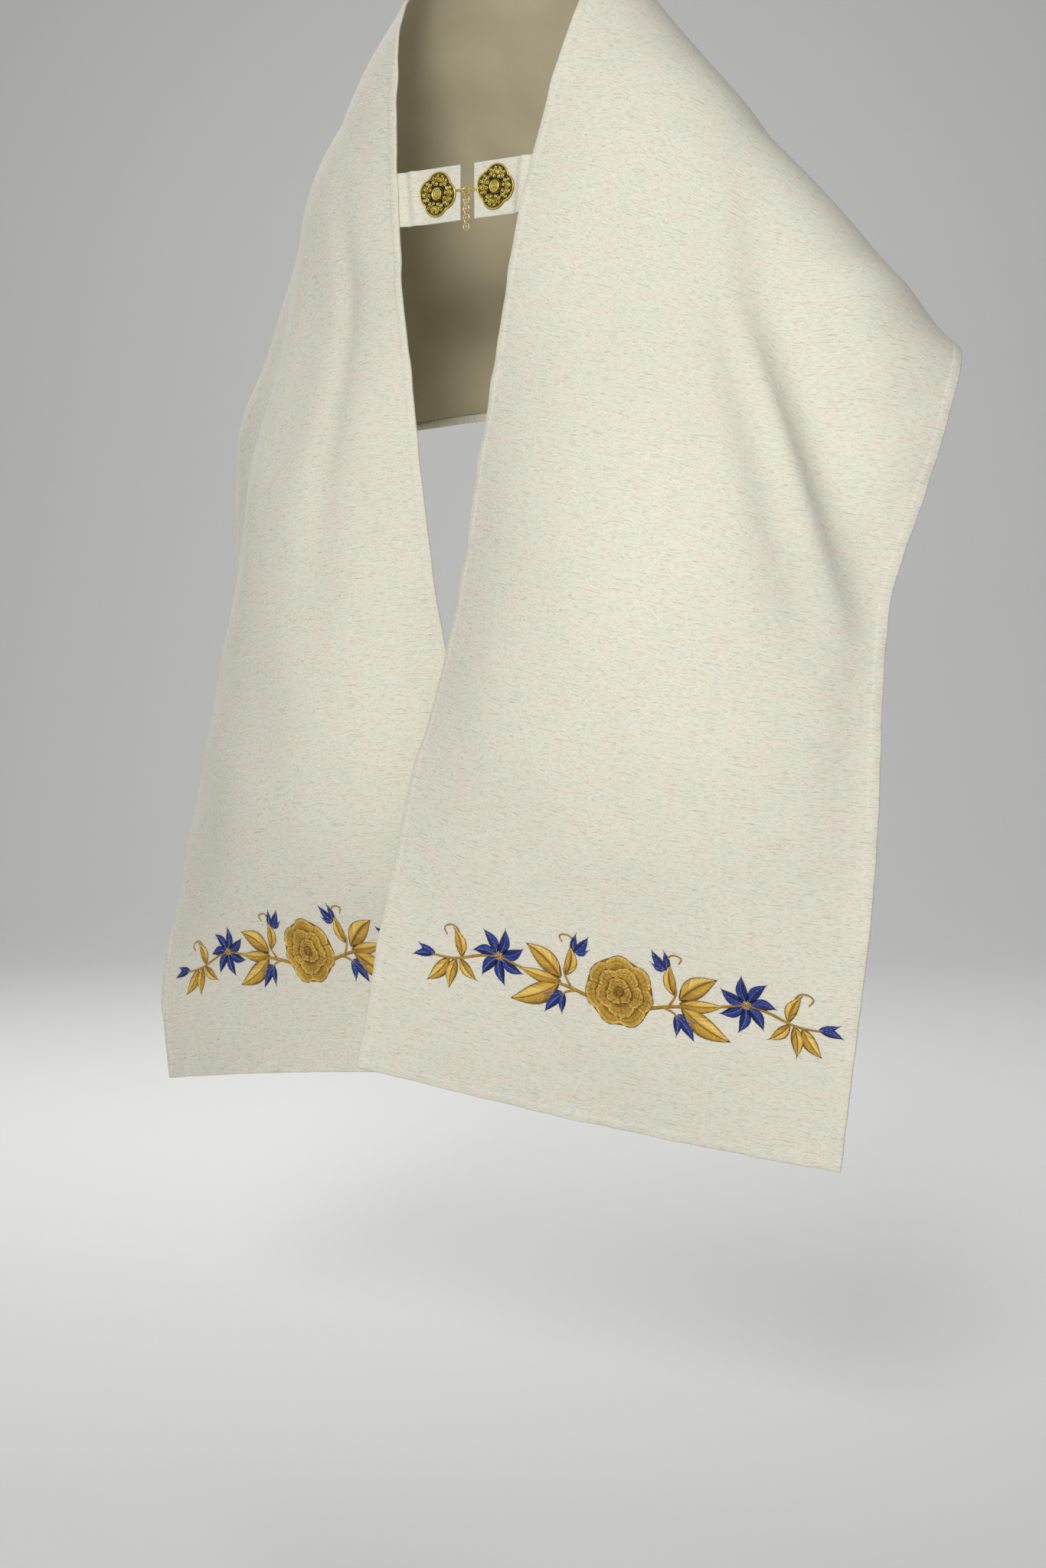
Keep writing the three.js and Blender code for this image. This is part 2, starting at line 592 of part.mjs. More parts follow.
const border = withShortEdges(borderSolid(), STITCH_STEP);
for (const { name, half, along, across } of BORDERS) {
  const vertices = border.points.map(({ x, y, z }) => (
    pointOnPanel(half, along + y, across + x, STITCH_LIFT + z)));
  const triangles = border.triangles.flatMap(([a, b, c]) => (
    half === 'left' ? [a, b, c] : [a, c, b]));
  add(name, solidGeometry(vertices, triangles), 'stitching');
}

export default veil;
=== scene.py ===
"""A humeral veil as it is worn: a long cream cloth with a lining, two clasp tabs and stitched borders.

Lengths are in millimetres until a mesh is made, which is in metres. +Z is up and the front faces -Y.
"""
import math

import bpy
import numpy as np
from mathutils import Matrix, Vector


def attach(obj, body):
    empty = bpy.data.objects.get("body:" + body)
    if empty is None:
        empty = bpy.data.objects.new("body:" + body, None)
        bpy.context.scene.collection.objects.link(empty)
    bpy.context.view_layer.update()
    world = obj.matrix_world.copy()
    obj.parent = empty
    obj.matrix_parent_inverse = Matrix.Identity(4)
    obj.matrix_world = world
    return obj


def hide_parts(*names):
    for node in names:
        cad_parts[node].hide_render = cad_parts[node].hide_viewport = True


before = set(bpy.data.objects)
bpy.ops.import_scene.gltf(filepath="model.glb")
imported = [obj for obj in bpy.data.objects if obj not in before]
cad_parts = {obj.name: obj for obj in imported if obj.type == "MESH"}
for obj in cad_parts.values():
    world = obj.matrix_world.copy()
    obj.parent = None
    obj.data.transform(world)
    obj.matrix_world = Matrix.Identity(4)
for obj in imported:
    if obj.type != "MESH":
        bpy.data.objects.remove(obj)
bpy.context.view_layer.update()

# The setting: pale studio paper whose floor lies at the height of the soles, large soft lamps,
# and a camera at the photograph's angle, a little below the chest.
CAMERA_AZIMUTH = 35
CAMERA_DISTANCE = 2.45
CAMERA_HEIGHT = -0.558
CAMERA_PITCH = -3.16
CAMERA_LENS = 54.18
FLOOR_HEIGHT = -1.43
SWEEP_HALF_WIDTH = 9.0
SWEEP_FRONT = -9.0
SWEEP_BEND = 4.2
SWEEP_RADIUS = 2.5
SWEEP_TOP = 6.0
BEND_STEPS = 17
PAPER_COLOUR = (0.80, 0.80, 0.79, 1)
SKY_COLOUR = (0.80, 0.81, 0.82, 1)
SKY_STRENGTH = 0.25
LAMPS = [
    # name, aim, azimuth, elevation, distance, size, watts, spread, colour
    ("key_lamp", (0.20, 0, -0.55), 20, 21, 3.4, 1.1, 20.5, 90, (1.0, 0.99, 0.965)),
    ("fill_lamp", (0.20, 0, -0.55), 70, 8, 3.4, 2.4, 2.5, 180, (1.0, 0.99, 0.97)),
    ("back_lamp", (0, 0.1, -0.10), 250, 34, 3.2, 1.2, 42, 180, (1.0, 1.0, 1.0)),
    ("paper_lamp", (-2.9, 4.1, -0.6), 35, 40, 4.6, 3.0, 75, 160, (1.0, 1.0, 1.0)),
]


def around(azimuth, elevation, distance):
    """A place at a distance from a lamp's aim: azimuth turns from the front towards +X, elevation
    rises from the level."""
    turn, rise = math.radians(azimuth), math.radians(elevation)
    flat = distance * math.cos(rise)
    return Vector((flat * math.sin(turn), -flat * math.cos(turn), distance * math.sin(rise)))


camera = bpy.data.objects.new("camera", bpy.data.cameras.new("camera"))
camera.location = around(CAMERA_AZIMUTH, 0, CAMERA_DISTANCE) + Vector((0, 0, CAMERA_HEIGHT))
camera.rotation_euler = (math.radians(90 + CAMERA_PITCH), 0, math.radians(CAMERA_AZIMUTH))
camera.data.lens = CAMERA_LENS
bpy.context.scene.collection.objects.link(camera)
bpy.context.scene.camera = camera

for name, aim, azimuth, elevation, distance, size, watts, spread, colour in LAMPS:
    lamp = bpy.data.objects.new(name, bpy.data.lights.new(name, "AREA"))
    lamp.data.shape = "DISK"
    lamp.data.size = size
    lamp.data.energy = watts
    lamp.data.spread = math.radians(spread)
    lamp.data.color = colour
    from_aim = around(azimuth, elevation, distance)
    lamp.location = Vector(aim) + from_aim
    lamp.rotation_euler = (-from_aim).to_track_quat("-Z", "Y").to_euler()
    bpy.context.scene.collection.objects.link(lamp)

sky = bpy.data.worlds.new("studio")
sky.use_nodes = True
sky.node_tree.nodes["Background"].inputs["Color"].default_value = SKY_COLOUR
sky.node_tree.nodes["Background"].inputs["Strength"].default_value = SKY_STRENGTH
bpy.context.scene.world = sky
bpy.context.scene.view_settings.view_transform = "Standard"

# The floor is one sheet of studio paper that bends up behind the veil: a straight run, a quarter
# circle and a straight rise, carried across the camera's view.
bend = np.linspace(0, np.pi / 2, BEND_STEPS)
wall = SWEEP_BEND + SWEEP_RADIUS
away = np.concatenate([[SWEEP_FRONT], SWEEP_BEND + SWEEP_RADIUS * np.sin(bend), [wall]])
rise = np.concatenate([[0], SWEEP_RADIUS * (1 - np.cos(bend)), [SWEEP_TOP]])
view = math.radians(CAMERA_AZIMUTH)
line = np.stack([-math.sin(view) * away, math.cos(view) * away, FLOOR_HEIGHT + rise], -1)
sideways = np.array([math.cos(view), math.sin(view), 0]) * SWEEP_HALF_WIDTH
corners = np.concatenate([line - sideways, line + sideways])
k = np.arange(len(line) - 1)
strips = np.stack([k, k + len(line), k + len(line) + 1, k + 1], -1)
sheet = bpy.data.meshes.new("floor")
sheet.from_pydata(corners.tolist(), [], strips.tolist())
sheet.polygons.foreach_set("use_smooth", np.ones(len(strips), bool))
floor = bpy.data.objects.new("floor", sheet)
bpy.context.scene.collection.objects.link(floor)
floor_paint = bpy.data.materials.new("floor_paint")
floor_paint.use_nodes = True
floor_paint.node_tree.nodes["Principled BSDF"].inputs["Base Color"].default_value = PAPER_COLOUR
floor_paint.node_tree.nodes["Principled BSDF"].inputs["Roughness"].default_value = 0.8
floor.data.materials.append(floor_paint)


# The outer cloth: one straight length of cream slub cloth, hem to hem over the back. All four
# edges are seamed to the lining, turned and pressed, so they are rounded and two layers thick,
# with the seam's allowance showing as a faint step beside them.
MM = 0.001
CLOTH_LENGTH = 2640
CLOTH_WIDTH = 500
CLOTH_THICKNESS = 1.2
CLOTH_CELL = 6.5
EDGE_RADIUS = 1.7
EDGE_TURN = 5.0
ALLOWANCE_WIDTH = 9.0
ALLOWANCE_STEP = 0.5
ALLOWANCE_FADE = 1.2
TURN_FADE = 0.3
EDGE_LINES = (0, 0.25, 0.7, 1.2, 1.7, 3, EDGE_TURN, 5.6, 7.2, 8.4, 9.4, 11, 14)

# Sections of each half from the hem to the middle of the back: the name of the place, then the
# point on the inner edge, halfway across, and on the outer edge. The right half is told on +X.
LEFT_SECTIONS = [
    ("hem", (-76, -183, -972), (174, -123, -1012), (412, -80, -1035)),
    ("border", (-55, -183, -880), (194, -144, -915), (424, -78, -935)),
    ("thigh", (-36, -180, -780), (208, -164, -814), (436, -75, -832)),
    ("hip", (-8, -172, -660), (222, -195, -690), (444, -68, -695)),
    ("waist", (22, -160, -549), (248, -200, -565), (441, -52, -578)),
    ("ribs", (52, -140, -330), (276, -152, -370), (450, 4, -415)),
    ("chest", (78, -102, -88), (268, -72, -204), (449, 72, -290)),
    ("collar", (117, -55, 100), (266, 5, -58), (385, 140, -285)),
    ("neck", (88, 35, 172), (196, 84, -18), (245, 192, -290)),
    ("nape", (0, 85, 190), (0, 142, -48), (0, 214, -285)),
]
RIGHT_SECTIONS = [
    ("hem", (-57, -118, -975), (187, -120, -997), (432, -80, -1035)),
    ("border", (-64, -118, -883), (188, -113, -901), (442, -78, -938)),
    ("thigh", (-48, -119, -783), (198, -138, -813), (432, -60, -832)),
    ("hip", (-18, -120, -660), (216, -158, -690), (425, -25, -695)),
    ("waist", (12, -118, -549), (240, -142, -565), (425, 15, -578)),
    ("ribs", (40, -130, -330), (260, -115, -375), (446, 62, -425)),
    ("chest", (84, -102, -88), (266, -60, -212), (450, 92, -318)),
    ("collar", (97, -55, 100), (272, 8, -56), (380, 150, -305)),
    ("neck", (92, 35, 172), (212, 84, -16), (248, 192, -296)),
    ("nape", (0, 85, 190), (0, 142, -48), (0, 214, -285)),
]

# The large folds, as the solid has them: half, first and last place on the fold's line as along
# from the front hem and across from the inner edge, half width and rise.
FOLDS = [
    ("left", (1060, 310), (780, 500), 120, 42),
    ("left", (910, 350), (830, 440), 50, 8),
    ("left", (930, 262), (520, 500), 36, -26),
    ("right", (950, 270), (770, 500), 80, 20),
    ("right", (930, 250), (470, 500), 50, -21),
    ("right", (1190, -10), (970, 110), 70, 20),
    ("right", (660, 300), (480, 390), 50, -8),
]
FOLD_END_SHARE = 0.1

# The smaller creases, ridges and troughs: half, the places where the line starts and ends, how far
# it bows sideways, the half width where it starts and where it ends, and the rise.
CREASES = [
    ("left", (826, 278), (512, 470), 3, 10, 14, 5.5),
    ("left", (850, 246), (480, 446), -4, 18, 24, -8.0),
    ("left", (880, 322), (580, 498), 0, 30, 36, -8.0),
    ("left", (700, 470), (140, 462), 14, 20, 30, -4.5),
    ("left", (480, 268), (210, 262), -10, 34, 48, -3.0),
    ("left", (955, 200), (830, 285), 6, 18, 26, 2.4),
    ("left", (1010, 120), (600, 185), -20, 50, 70, -2.5),
    ("left", (620, 60), (150, 110), 12, 40, 60, 2.2),
    ("left", (420, 382), (140, 364), 8, 30, 44, 2.4),
    ("right", (930, 88), (440, 162), -16, 18, 30, -6.0),
    ("right", (900, 165), (510, 282), 14, 24, 36, 5.0),
    ("right", (800, 330), (515, 482), -8, 18, 28, 3.6),
    ("right", (530, 70), (140, 102), 10, 40, 56, 2.6),
    ("right", (475, 250), (210, 272), -8, 36, 50, -3.2),
    ("right", (440, 398), (170, 412), 6, 28, 40, -3.0),
    ("left", (1060, 470), (1590, 440), -62, 26, 36, -9.0),
    ("left", (1090, 330), (1560, 345), -44, 26, 36, 9.0),
    ("left", (1120, 230), (1490, 212), -30, 20, 30, -7.0),
    ("left", (1150, 60), (1190, 300), 20, 18, 30, 2.6),
    ("right", (1160, 70), (1200, 330), -18, 18, 28, 2.6),
    ("left", (1230, 40), (1262, 210), 8, 16, 26, -2.2),
    ("right", (1240, 50), (1268, 230), -10, 16, 28, -2.4),
    ("right", (1090, 380), (1240, 470), 10, 20, 30, 5.0),
]
# Broad low waves and the ripple of the pressed edges: wave lengths along and across, rise, shift.
WAVES = [(410, 900, 1.3, 0.4), (260, 330, 0.8, 2.1), (173, -240, 0.5, 4.4), (97, 410, 0.3, 1.2)]
EDGE_RIPPLES = [(61, 0.5, 0.7), (37, 0.3, 2.9), (143, 0.7, 5.1)]
EDGE_RIPPLE_REACH = 16
EDGE_RIPPLE_SLANT = 1.3
CREASE_FULLNESS = 0.8
NORMAL_STEP = 3.0
CURVE_STEPS = 2001


def spline_bends(knots, values):
    """The second derivatives of a natural cubic spline at its knots: zero at both ends, and for each
    inner knot one equation says that the slopes of the two spans beside it meet."""
    steps = np.diff(knots)
    rows = np.eye(len(knots))
    change = np.zeros_like(values)
    inner = np.arange(1, len(knots) - 1)
    rows[inner, inner - 1] = steps[:-1]
    rows[inner, inner] = 2 * (steps[:-1] + steps[1:])
    rows[inner, inner + 1] = steps[1:]
    change[1:-1] = 6 * np.diff(np.diff(values, axis=0) / steps[:, None], axis=0)
    return np.linalg.solve(rows, change)


def smooth_curve(points):
    """A curve through points, whose coordinates are natural cubic splines of the chord length. It
    returns a function that takes shares of the curve's own length, 0 to 1, to points."""
    points = np.asarray(points, float)
    knots = np.append(0, np.cumsum(np.linalg.norm(np.diff(points, axis=0), axis=1)))
    second = spline_bends(knots, points)

    def read(at):
        """Each span is the line between its knots plus the cubic that its second derivatives give."""
        span = np.clip(np.searchsorted(knots, at, side="right") - 1, 0, len(knots) - 2)
        width = np.diff(knots)[span][..., None]
        after = (at - knots[span])[..., None] / width
        before = 1 - after
        curve = (before**3 - before) * second[span] + (after**3 - after) * second[span + 1]
        return before * points[span] + after * points[span + 1] + curve * width**2 / 6

    fine = np.linspace(0, knots[-1], CURVE_STEPS)
    reached = np.append(0, np.cumsum(np.linalg.norm(np.diff(read(fine), axis=0), axis=1)))
    return lambda share: read(np.interp(share * reached[-1], reached, fine)
                              + (share - np.clip(share, 0, 1)) * knots[-1])


left = np.array([row[1:] for row in LEFT_SECTIONS], float)
right = np.array([row[1:] for row in RIGHT_SECTIONS], float) * (-1, 1, 1)
rails = np.concatenate([right, left[-2::-1]]).swapaxes(0, 1)
inner_rail, middle_rail, outer_rail = map(smooth_curve, rails)


def smooth_drape(reached, across):
    """The cloth without its folds: a section is the parabola through the three rails at its place,
    reached from the right hem, and across is 0 at the inner edge."""
    share, t = reached / CLOTH_LENGTH, (across / CLOTH_WIDTH)[..., None]
    inner = inner_rail(share) * (1 - t) * (1 - 2 * t)
    return inner + middle_rail(share) * 4 * t * (1 - t) + outer_rail(share) * t * (2 * t - 1)


def normals_of(surface, reached, across, step=NORMAL_STEP):
    """Unit normals: the step along the cloth crossed with the step across it, each taken between
    two points either side."""
    along = surface(reached + step, across) - surface(reached - step, across)
    over = surface(reached, across + step) - surface(reached, across - step)
    normal = np.cross(along, over)
    return normal / np.linalg.norm(normal, axis=-1, keepdims=True)


def reached_from(half, along):
    """The place from the right hem, for a place told from the hem of its own half."""
    return CLOTH_LENGTH - along if half == "left" else along


def beside_line(half, first, last, reached, across):
    """How far a place is forward along a line on the cloth, and how far to its side, with the
    line's length."""
    line = np.subtract(last, first)
    length = np.hypot(*line)
    line = line / length
    from_first = np.stack([reached_from(half, reached) - first[0], across - first[1]], -1)
    sideways = from_first[..., 0] * line[1] - from_first[..., 1] * line[0]
    return from_first @ line, sideways, length


def fold_rise(half, first, last, half_width, rise, reached, across):
    """A fold's lift: a bell curve of the distance from its line, times a sine along the line that
    falls to a share of its height at both ends."""
    forward, sideways, length = beside_line(half, first, last, reached, across)
    in_line = np.clip(forward, 0, length)
    body = FOLD_END_SHARE + (1 - FOLD_END_SHARE) * np.sin(np.pi * in_line / length)
    return rise * body * np.exp(-(((forward - in_line) / half_width) ** 2) - (sideways / half_width) ** 2)


def crease_rise(half, first, last, bow, start_width, end_width, rise, reached, across):
    """A crease's lift: a bell curve of the distance from its bowed line, whose width changes evenly
    along it, and which fades in and out along the line as a sine does."""
    forward, sideways, length = beside_line(half, first, last, reached, across)
    share = np.clip(forward / length, 0, 1)
    width = start_width + (end_width - start_width) * share
    from_bow = sideways - bow * 4 * share * (1 - share)
    return rise * np.sin(np.pi * share) ** CREASE_FULLNESS * np.exp(-((from_bow / width) ** 2))


def edge_distance(reached, across):
    """The distance to the nearest of the four edges."""
    return np.minimum(
        np.minimum(reached, CLOTH_LENGTH - reached), np.minimum(across, CLOTH_WIDTH - across)
    )


def total_rise(reached, across):
    """All folds, creases and waves, and a ripple that dies away from the edges."""
    rise = sum(fold_rise(*fold, reached, across) for fold in FOLDS)
    rise = rise + sum(crease_rise(*crease, reached, across) for crease in CREASES)
    for along_wave, across_wave, height, shift in WAVES:
        rise = rise + height * np.sin(2 * np.pi * (reached / along_wave + across / across_wave) + shift)
    ripple = sum(
        height * np.sin(2 * np.pi * (reached + EDGE_RIPPLE_SLANT * across) / wave + shift)
        for wave, height, shift in EDGE_RIPPLES
    )
    return rise + ripple * np.exp(-np.abs(edge_distance(reached, across)) / EDGE_RIPPLE_REACH)


def folded(reached, across):
    """The worn cloth's face: the smooth drape pushed along its normals by the folds."""
    normal = normals_of(smooth_drape, reached, across)
    return smooth_drape(reached, across) + total_rise(reached, across)[..., None] * normal


def on_cloth(reached, across, lift):
    """A place off the worn cloth's face by a lift along the normal there."""
    return folded(reached, across) + lift[..., None] * normals_of(folded, reached, across)


def grid_lines(length, edge_lines, cell):
    """Places along one side of the cloth: close together at both edges, even between them."""
    edge = np.array(edge_lines, float)
    between = np.linspace(edge[-1], length - edge[-1], round((length - 2 * edge[-1]) / cell) + 1)
    return np.concatenate([edge, between[1:-1], length - edge[::-1]])


def edge_drop(distance, radius):
    """How far a rounded edge falls from its face: a quarter circle over one radius."""
    inside = np.clip(radius - distance, 0, radius)
    return radius - np.sqrt(radius**2 - inside**2)


def pillow(upper, lower):
    """Points and faces of a closed shell between two grids that share their rims. The upper grid's
    faces point along its first direction crossed with its second."""
    rows, columns = upper.shape[:2]
    top = np.arange(rows * columns).reshape(rows, columns)
    bottom = top.copy()
    inside = np.arange((rows - 2) * (columns - 2)).reshape(rows - 2, columns - 2)
    bottom[1:-1, 1:-1] = rows * columns + inside
    corners = [(slice(0, -1), slice(0, -1)), (slice(1, None), slice(0, -1)),
               (slice(1, None), slice(1, None)), (slice(0, -1), slice(1, None))]
    faces = np.stack([top[corner].ravel() for corner in corners], -1)
    under = np.stack([bottom[corner].ravel() for corner in corners[::-1]], -1)
    points = np.concatenate([upper.reshape(-1, 3), lower[1:-1, 1:-1].reshape(-1, 3)])
    return points, np.concatenate([faces, under])


def pillow_values(values):
    """The values of a grid's points in the order that pillow gives them."""
    return np.concatenate([values.reshape(-1, values.shape[-1]),
                           values[1:-1, 1:-1].reshape(-1, values.shape[-1])])


def new_piece(name, points, faces, material, slot, body="veil", uv=None, **values):
    """A mesh of points and of faces with equal corners, in metres, that rides on a body. uv holds two
    numbers a point, and each of values one."""
    mesh = bpy.data.meshes.new(name)
    mesh.vertices.add(len(points))
    mesh.vertices.foreach_set("co", (points * MM).astype(np.float32).ravel())
    corners = faces.astype(np.int32).ravel()
    mesh.loops.add(len(corners))
    mesh.loops.foreach_set("vertex_index", corners)
    mesh.polygons.add(len(faces))
    mesh.polygons.foreach_set("loop_start", np.arange(0, len(corners), faces.shape[1], dtype=np.int32))
    mesh.polygons.foreach_set("use_smooth", np.ones(len(faces), bool))
    mesh.update(calc_edges=True)
    if uv is not None:
        laid_out = mesh.uv_layers.new(name="laid_out")
        laid_out.data.foreach_set("uv", uv[corners].astype(np.float32).ravel())
    for key, each in values.items():
        mesh.attributes.new(key, "FLOAT", "POINT").data.foreach_set("value", each.astype(np.float32))
    mesh.validate()
    mesh.materials.append(material)
    piece = bpy.data.objects.new(name, mesh)
    bpy.context.scene.collection.objects.link(piece)
    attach(piece, body)
    return piece


class Field:
    """A value that varies over a surface. It wraps a socket, and the operators add Math nodes."""

    def __init__(self, finish, socket):
        self.finish = finish
        self.socket = socket

    def maths(self, operation, first, second):
        return self.finish.node("ShaderNodeMath", {"operation": operation}, {0: first, 1: second})

    def __add__(self, other):
        return self.maths("ADD", self, other)

    def __sub__(self, other):
        return self.maths("SUBTRACT", self, other)

    def __rsub__(self, other):
        return self.maths("SUBTRACT", other, self)

    def __mul__(self, other):
        return self.maths("MULTIPLY", self, other)

    __radd__, __rmul__ = __add__, __mul__


class Finish:
    """One material: the constants go on its shader's own sockets, and the methods add its nodes."""

    def __init__(self, name, **constants):
        self.material = bpy.data.materials.new(name)
        self.material.use_nodes = True
        self.shader = self.material.node_tree.nodes["Principled BSDF"]
        for socket, value in constants.items():
            self.shader.inputs[socket.replace("_", " ")].default_value = value

    def node(self, kind, settings, sockets, output=0):
        """A node of a kind, with its settings and then the values or links of its sockets."""
        node = self.material.node_tree.nodes.new(kind)
        for setting, value in settings.items():
            if setting == "stops":
                for k, (place, colour) in enumerate(value):
                    stop = node.color_ramp.elements[k] if k < 2 else node.color_ramp.elements.new(place)
                    stop.position, stop.color = place, (*colour, 1)
            else:
                setattr(node, setting, value)
        for socket, value in sockets.items():
            self.feed(node.inputs[socket], value)
        return Field(self, node.outputs[output])

    def feed(self, socket, value):
        if isinstance(value, Field):
            self.material.node_tree.links.new(value.socket, socket)
        else:
            socket.default_value = value

    def ramp(self, share, *stops):
        return self.node("ShaderNodeValToRGB", {"stops": stops}, {"Fac": share})

    def mix(self, share, first, second, blend="MIX"):
        return self.node("ShaderNodeMix", {"data_type": "RGBA", "blend_type": blend},
                         {0: share, 6: first, 7: second}, 2)

    def noise(self, place, size, detail=2.0):
        """Noise whose grains are as long as size says, in metres, in each direction of place."""
        scale = tuple(1 / length for length in size)
        stretched = self.node("ShaderNodeMapping", {}, {"Vector": place, "Scale": scale})
        return self.node("ShaderNodeTexNoise", {}, {"Vector": stretched, "Scale": 1.0, "Detail": detail})

    def surface(self, **fields):
        for socket, value in fields.items():
            self.feed(self.shader.inputs[socket.replace("_", " ")], value)

    def bump(self, height, distance, strength):
        """Bumps the surface by a height from 0 to 1 that is worth a distance in metres."""
        sockets = {"Height": height, "Distance": distance, "Strength": strength}
        self.surface(Normal=self.node("ShaderNodeBump", {}, sockets))


def slub_cloth(name):
    """Cream cloth: fine uneven yarns both ways, short slubs in grey, brown and gold that run across
    the width, and faint patches of pink, green and yellow."""
    cloth = Finish(name, Sheen_Weight=0.12, Sheen_Roughness=0.45, Specular_IOR_Level=0.2)
    place = cloth.node("ShaderNodeUVMap", {"uv_map": "laid_out"}, {})
    weft = cloth.noise(place, (0.0055, 0.0009, 1), 3)
    warp = cloth.noise(place, (0.0009, 0.0030, 1), 2)
    band = cloth.noise(place, (0.040, 0.0018, 1), 2)
    slub = cloth.noise(place, (0.0085, 0.0009, 1), 2)
    long_slub = cloth.noise(place, (0.024, 0.0011, 1), 2)
    tint = cloth.noise(place, (0.030, 0.016, 1), 3)
    patch = cloth.ramp(tint, (0.30, (0.765, 0.765, 0.650)), (0.46, (0.805, 0.785, 0.680)),
                       (0.55, (0.800, 0.775, 0.655)), (0.70, (0.830, 0.760, 0.675)))
    shade = 0.30 + 0.70 * weft + 0.44 * warp + 0.22 * band
    yarn = cloth.mix(1.0, patch, cloth.ramp(shade, (0, (0, 0, 0)), (1, (1, 1, 1))), "MULTIPLY")
    fleck_tint = cloth.noise(place, (0.012, 0.004, 1), 1)
    fleck = cloth.ramp(fleck_tint, (0.38, (0.22, 0.18, 0.13)), (0.46, (0.36, 0.25, 0.12)),
                       (0.54, (0.28, 0.23, 0.16)), (0.64, (0.42, 0.26, 0.18)))
    few = cloth.ramp(slub, (0.60, (0, 0, 0)), (0.72, (1, 1, 1)))
    fewer = cloth.ramp(long_slub, (0.61, (0, 0, 0)), (0.74, (1, 1, 1)))
    flecked = cloth.mix(0.46 * few, yarn, fleck)
    cloth.surface(Base_Color=cloth.mix(0.46 * fewer, flecked, fleck), Roughness=0.78 + 0.14 * weft)
    cloth.bump(0.5 * weft + 0.3 * warp + 0.35 * few, 0.0004, 0.6)
    return cloth.material


cream_cloth = slub_cloth("cream_slub_cloth")
long_lines = grid_lines(CLOTH_LENGTH, EDGE_LINES, CLOTH_CELL)
cross_lines = grid_lines(CLOTH_WIDTH, EDGE_LINES, CLOTH_CELL)
reached, across = np.meshgrid(long_lines, cross_lines, indexing="ij")
distance = edge_distance(reached, across)
drop = edge_drop(distance, EDGE_RADIUS)
in_allowance = np.clip((ALLOWANCE_WIDTH + ALLOWANCE_FADE / 2 - distance) / ALLOWANCE_FADE, 0, 1)
allowance = ALLOWANCE_STEP * in_allowance * np.clip(distance / EDGE_TURN, 0, 1)
turned = np.where(distance < EDGE_TURN + TURN_FADE, 2 * EDGE_RADIUS - drop, CLOTH_THICKNESS)
upper, lower = on_cloth(reached, across, allowance - drop), on_cloth(reached, across, -turned)
points, faces = pillow(upper, lower)
laid_out = pillow_values(np.stack([across, reached], -1) * MM)
outer_cloth = new_piece("veil_cloth", points, faces, cream_cloth, "cream_cloth", uv=laid_out)
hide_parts("outer_cloth")


# The lining: one plain length of olive beige cloth of the same size, seen inside the back of the
# neck. Its edges stop inside the turned edges of the outer cloth, and it lies a little loose.
LINING_FRONT = 1.5
LINING_BACK = 2.5
LINING_INSET = 6.2
LINING_CELL = 10
LINING_EDGE_LINES = (0, 0.15, 0.5, 4)
LINING_LOOSE = 1.6
LINING_LOOSE_FROM_EDGE = 25


def lining_cloth(name):
    """Plain smooth cloth: very fine twill ridges and a slight change of tone."""
    cloth = Finish(name, Sheen_Weight=0.12, Specular_IOR_Level=0.35)
    place = cloth.node("ShaderNodeUVMap", {"uv_map": "laid_out"}, {})
    tone = cloth.noise(place, (0.05, 0.08, 1), 2)
    twill = cloth.noise(place, (0.0012, 0.0035, 1), 1)
    colour = cloth.ramp(tone, (0.35, (0.46, 0.41, 0.28)), (0.65, (0.50, 0.45, 0.31)))
    ridged = cloth.mix(0.12 * twill, colour, (0.30, 0.26, 0.16, 1))
    cloth.surface(Base_Color=ridged, Roughness=0.55 + 0.12 * twill)
    cloth.bump(twill, 0.0002, 0.5)
    return cloth.material


long_lines = grid_lines(CLOTH_LENGTH - 2 * LINING_INSET, LINING_EDGE_LINES, LINING_CELL)
cross_lines = grid_lines(CLOTH_WIDTH - 2 * LINING_INSET, LINING_EDGE_LINES, LINING_CELL)
reached, across = np.meshgrid(LINING_INSET + long_lines, LINING_INSET + cross_lines, indexing="ij")
distance = edge_distance(reached, across) - LINING_INSET
drop = edge_drop(distance, (LINING_BACK - LINING_FRONT) / 2)
wave = 0.5 + 0.3 * np.sin(reached / 31 + across / 90) + 0.2 * np.sin(reached / 19 - across / 47)
loose = LINING_LOOSE * wave * np.clip(distance / LINING_LOOSE_FROM_EDGE, 0, 1)
upper = on_cloth(reached, across, -LINING_FRONT - drop - loose)
lower = on_cloth(reached, across, -LINING_BACK + drop - loose)
points, faces = pillow(upper, lower)
laid_out = pillow_values(np.stack([across, reached], -1) * MM)
olive_cloth = lining_cloth("lining_cloth")
lining = new_piece("veil_lining", points, faces, olive_cloth, "lining_cloth", uv=laid_out)
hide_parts("lining")


# The clasp tabs: two short strips of the cream cloth, folded double and sewn under the inner edges
# at the chest. They lie flat behind the plates and bend where they meet the panels.
TAB_HEIGHT = 55
TAB_LENGTH = 95
TAB_THICKNESS = 2
TAB_MIDDLE_Z = -100
TAB_FRONT_Y = -97
TAB_END_X = 8.5
TAB_BEND_X = 58
TAB_BEND_LENGTH = 14
TAB_SEWN_SHARE = 0.6
TAB_SEAM_ACROSS = 18
TAB_SEAM_GAP = 0.7
TAB_EDGE_LINES = (0, 0.12, 0.4, 0.8, 1.0, 2.5)
TAB_CELL = 2.5
TAB_PUCKERS = [(66, 4.5, 2.2, 0.12), (74, 3.0, -1.0, 0.1)]


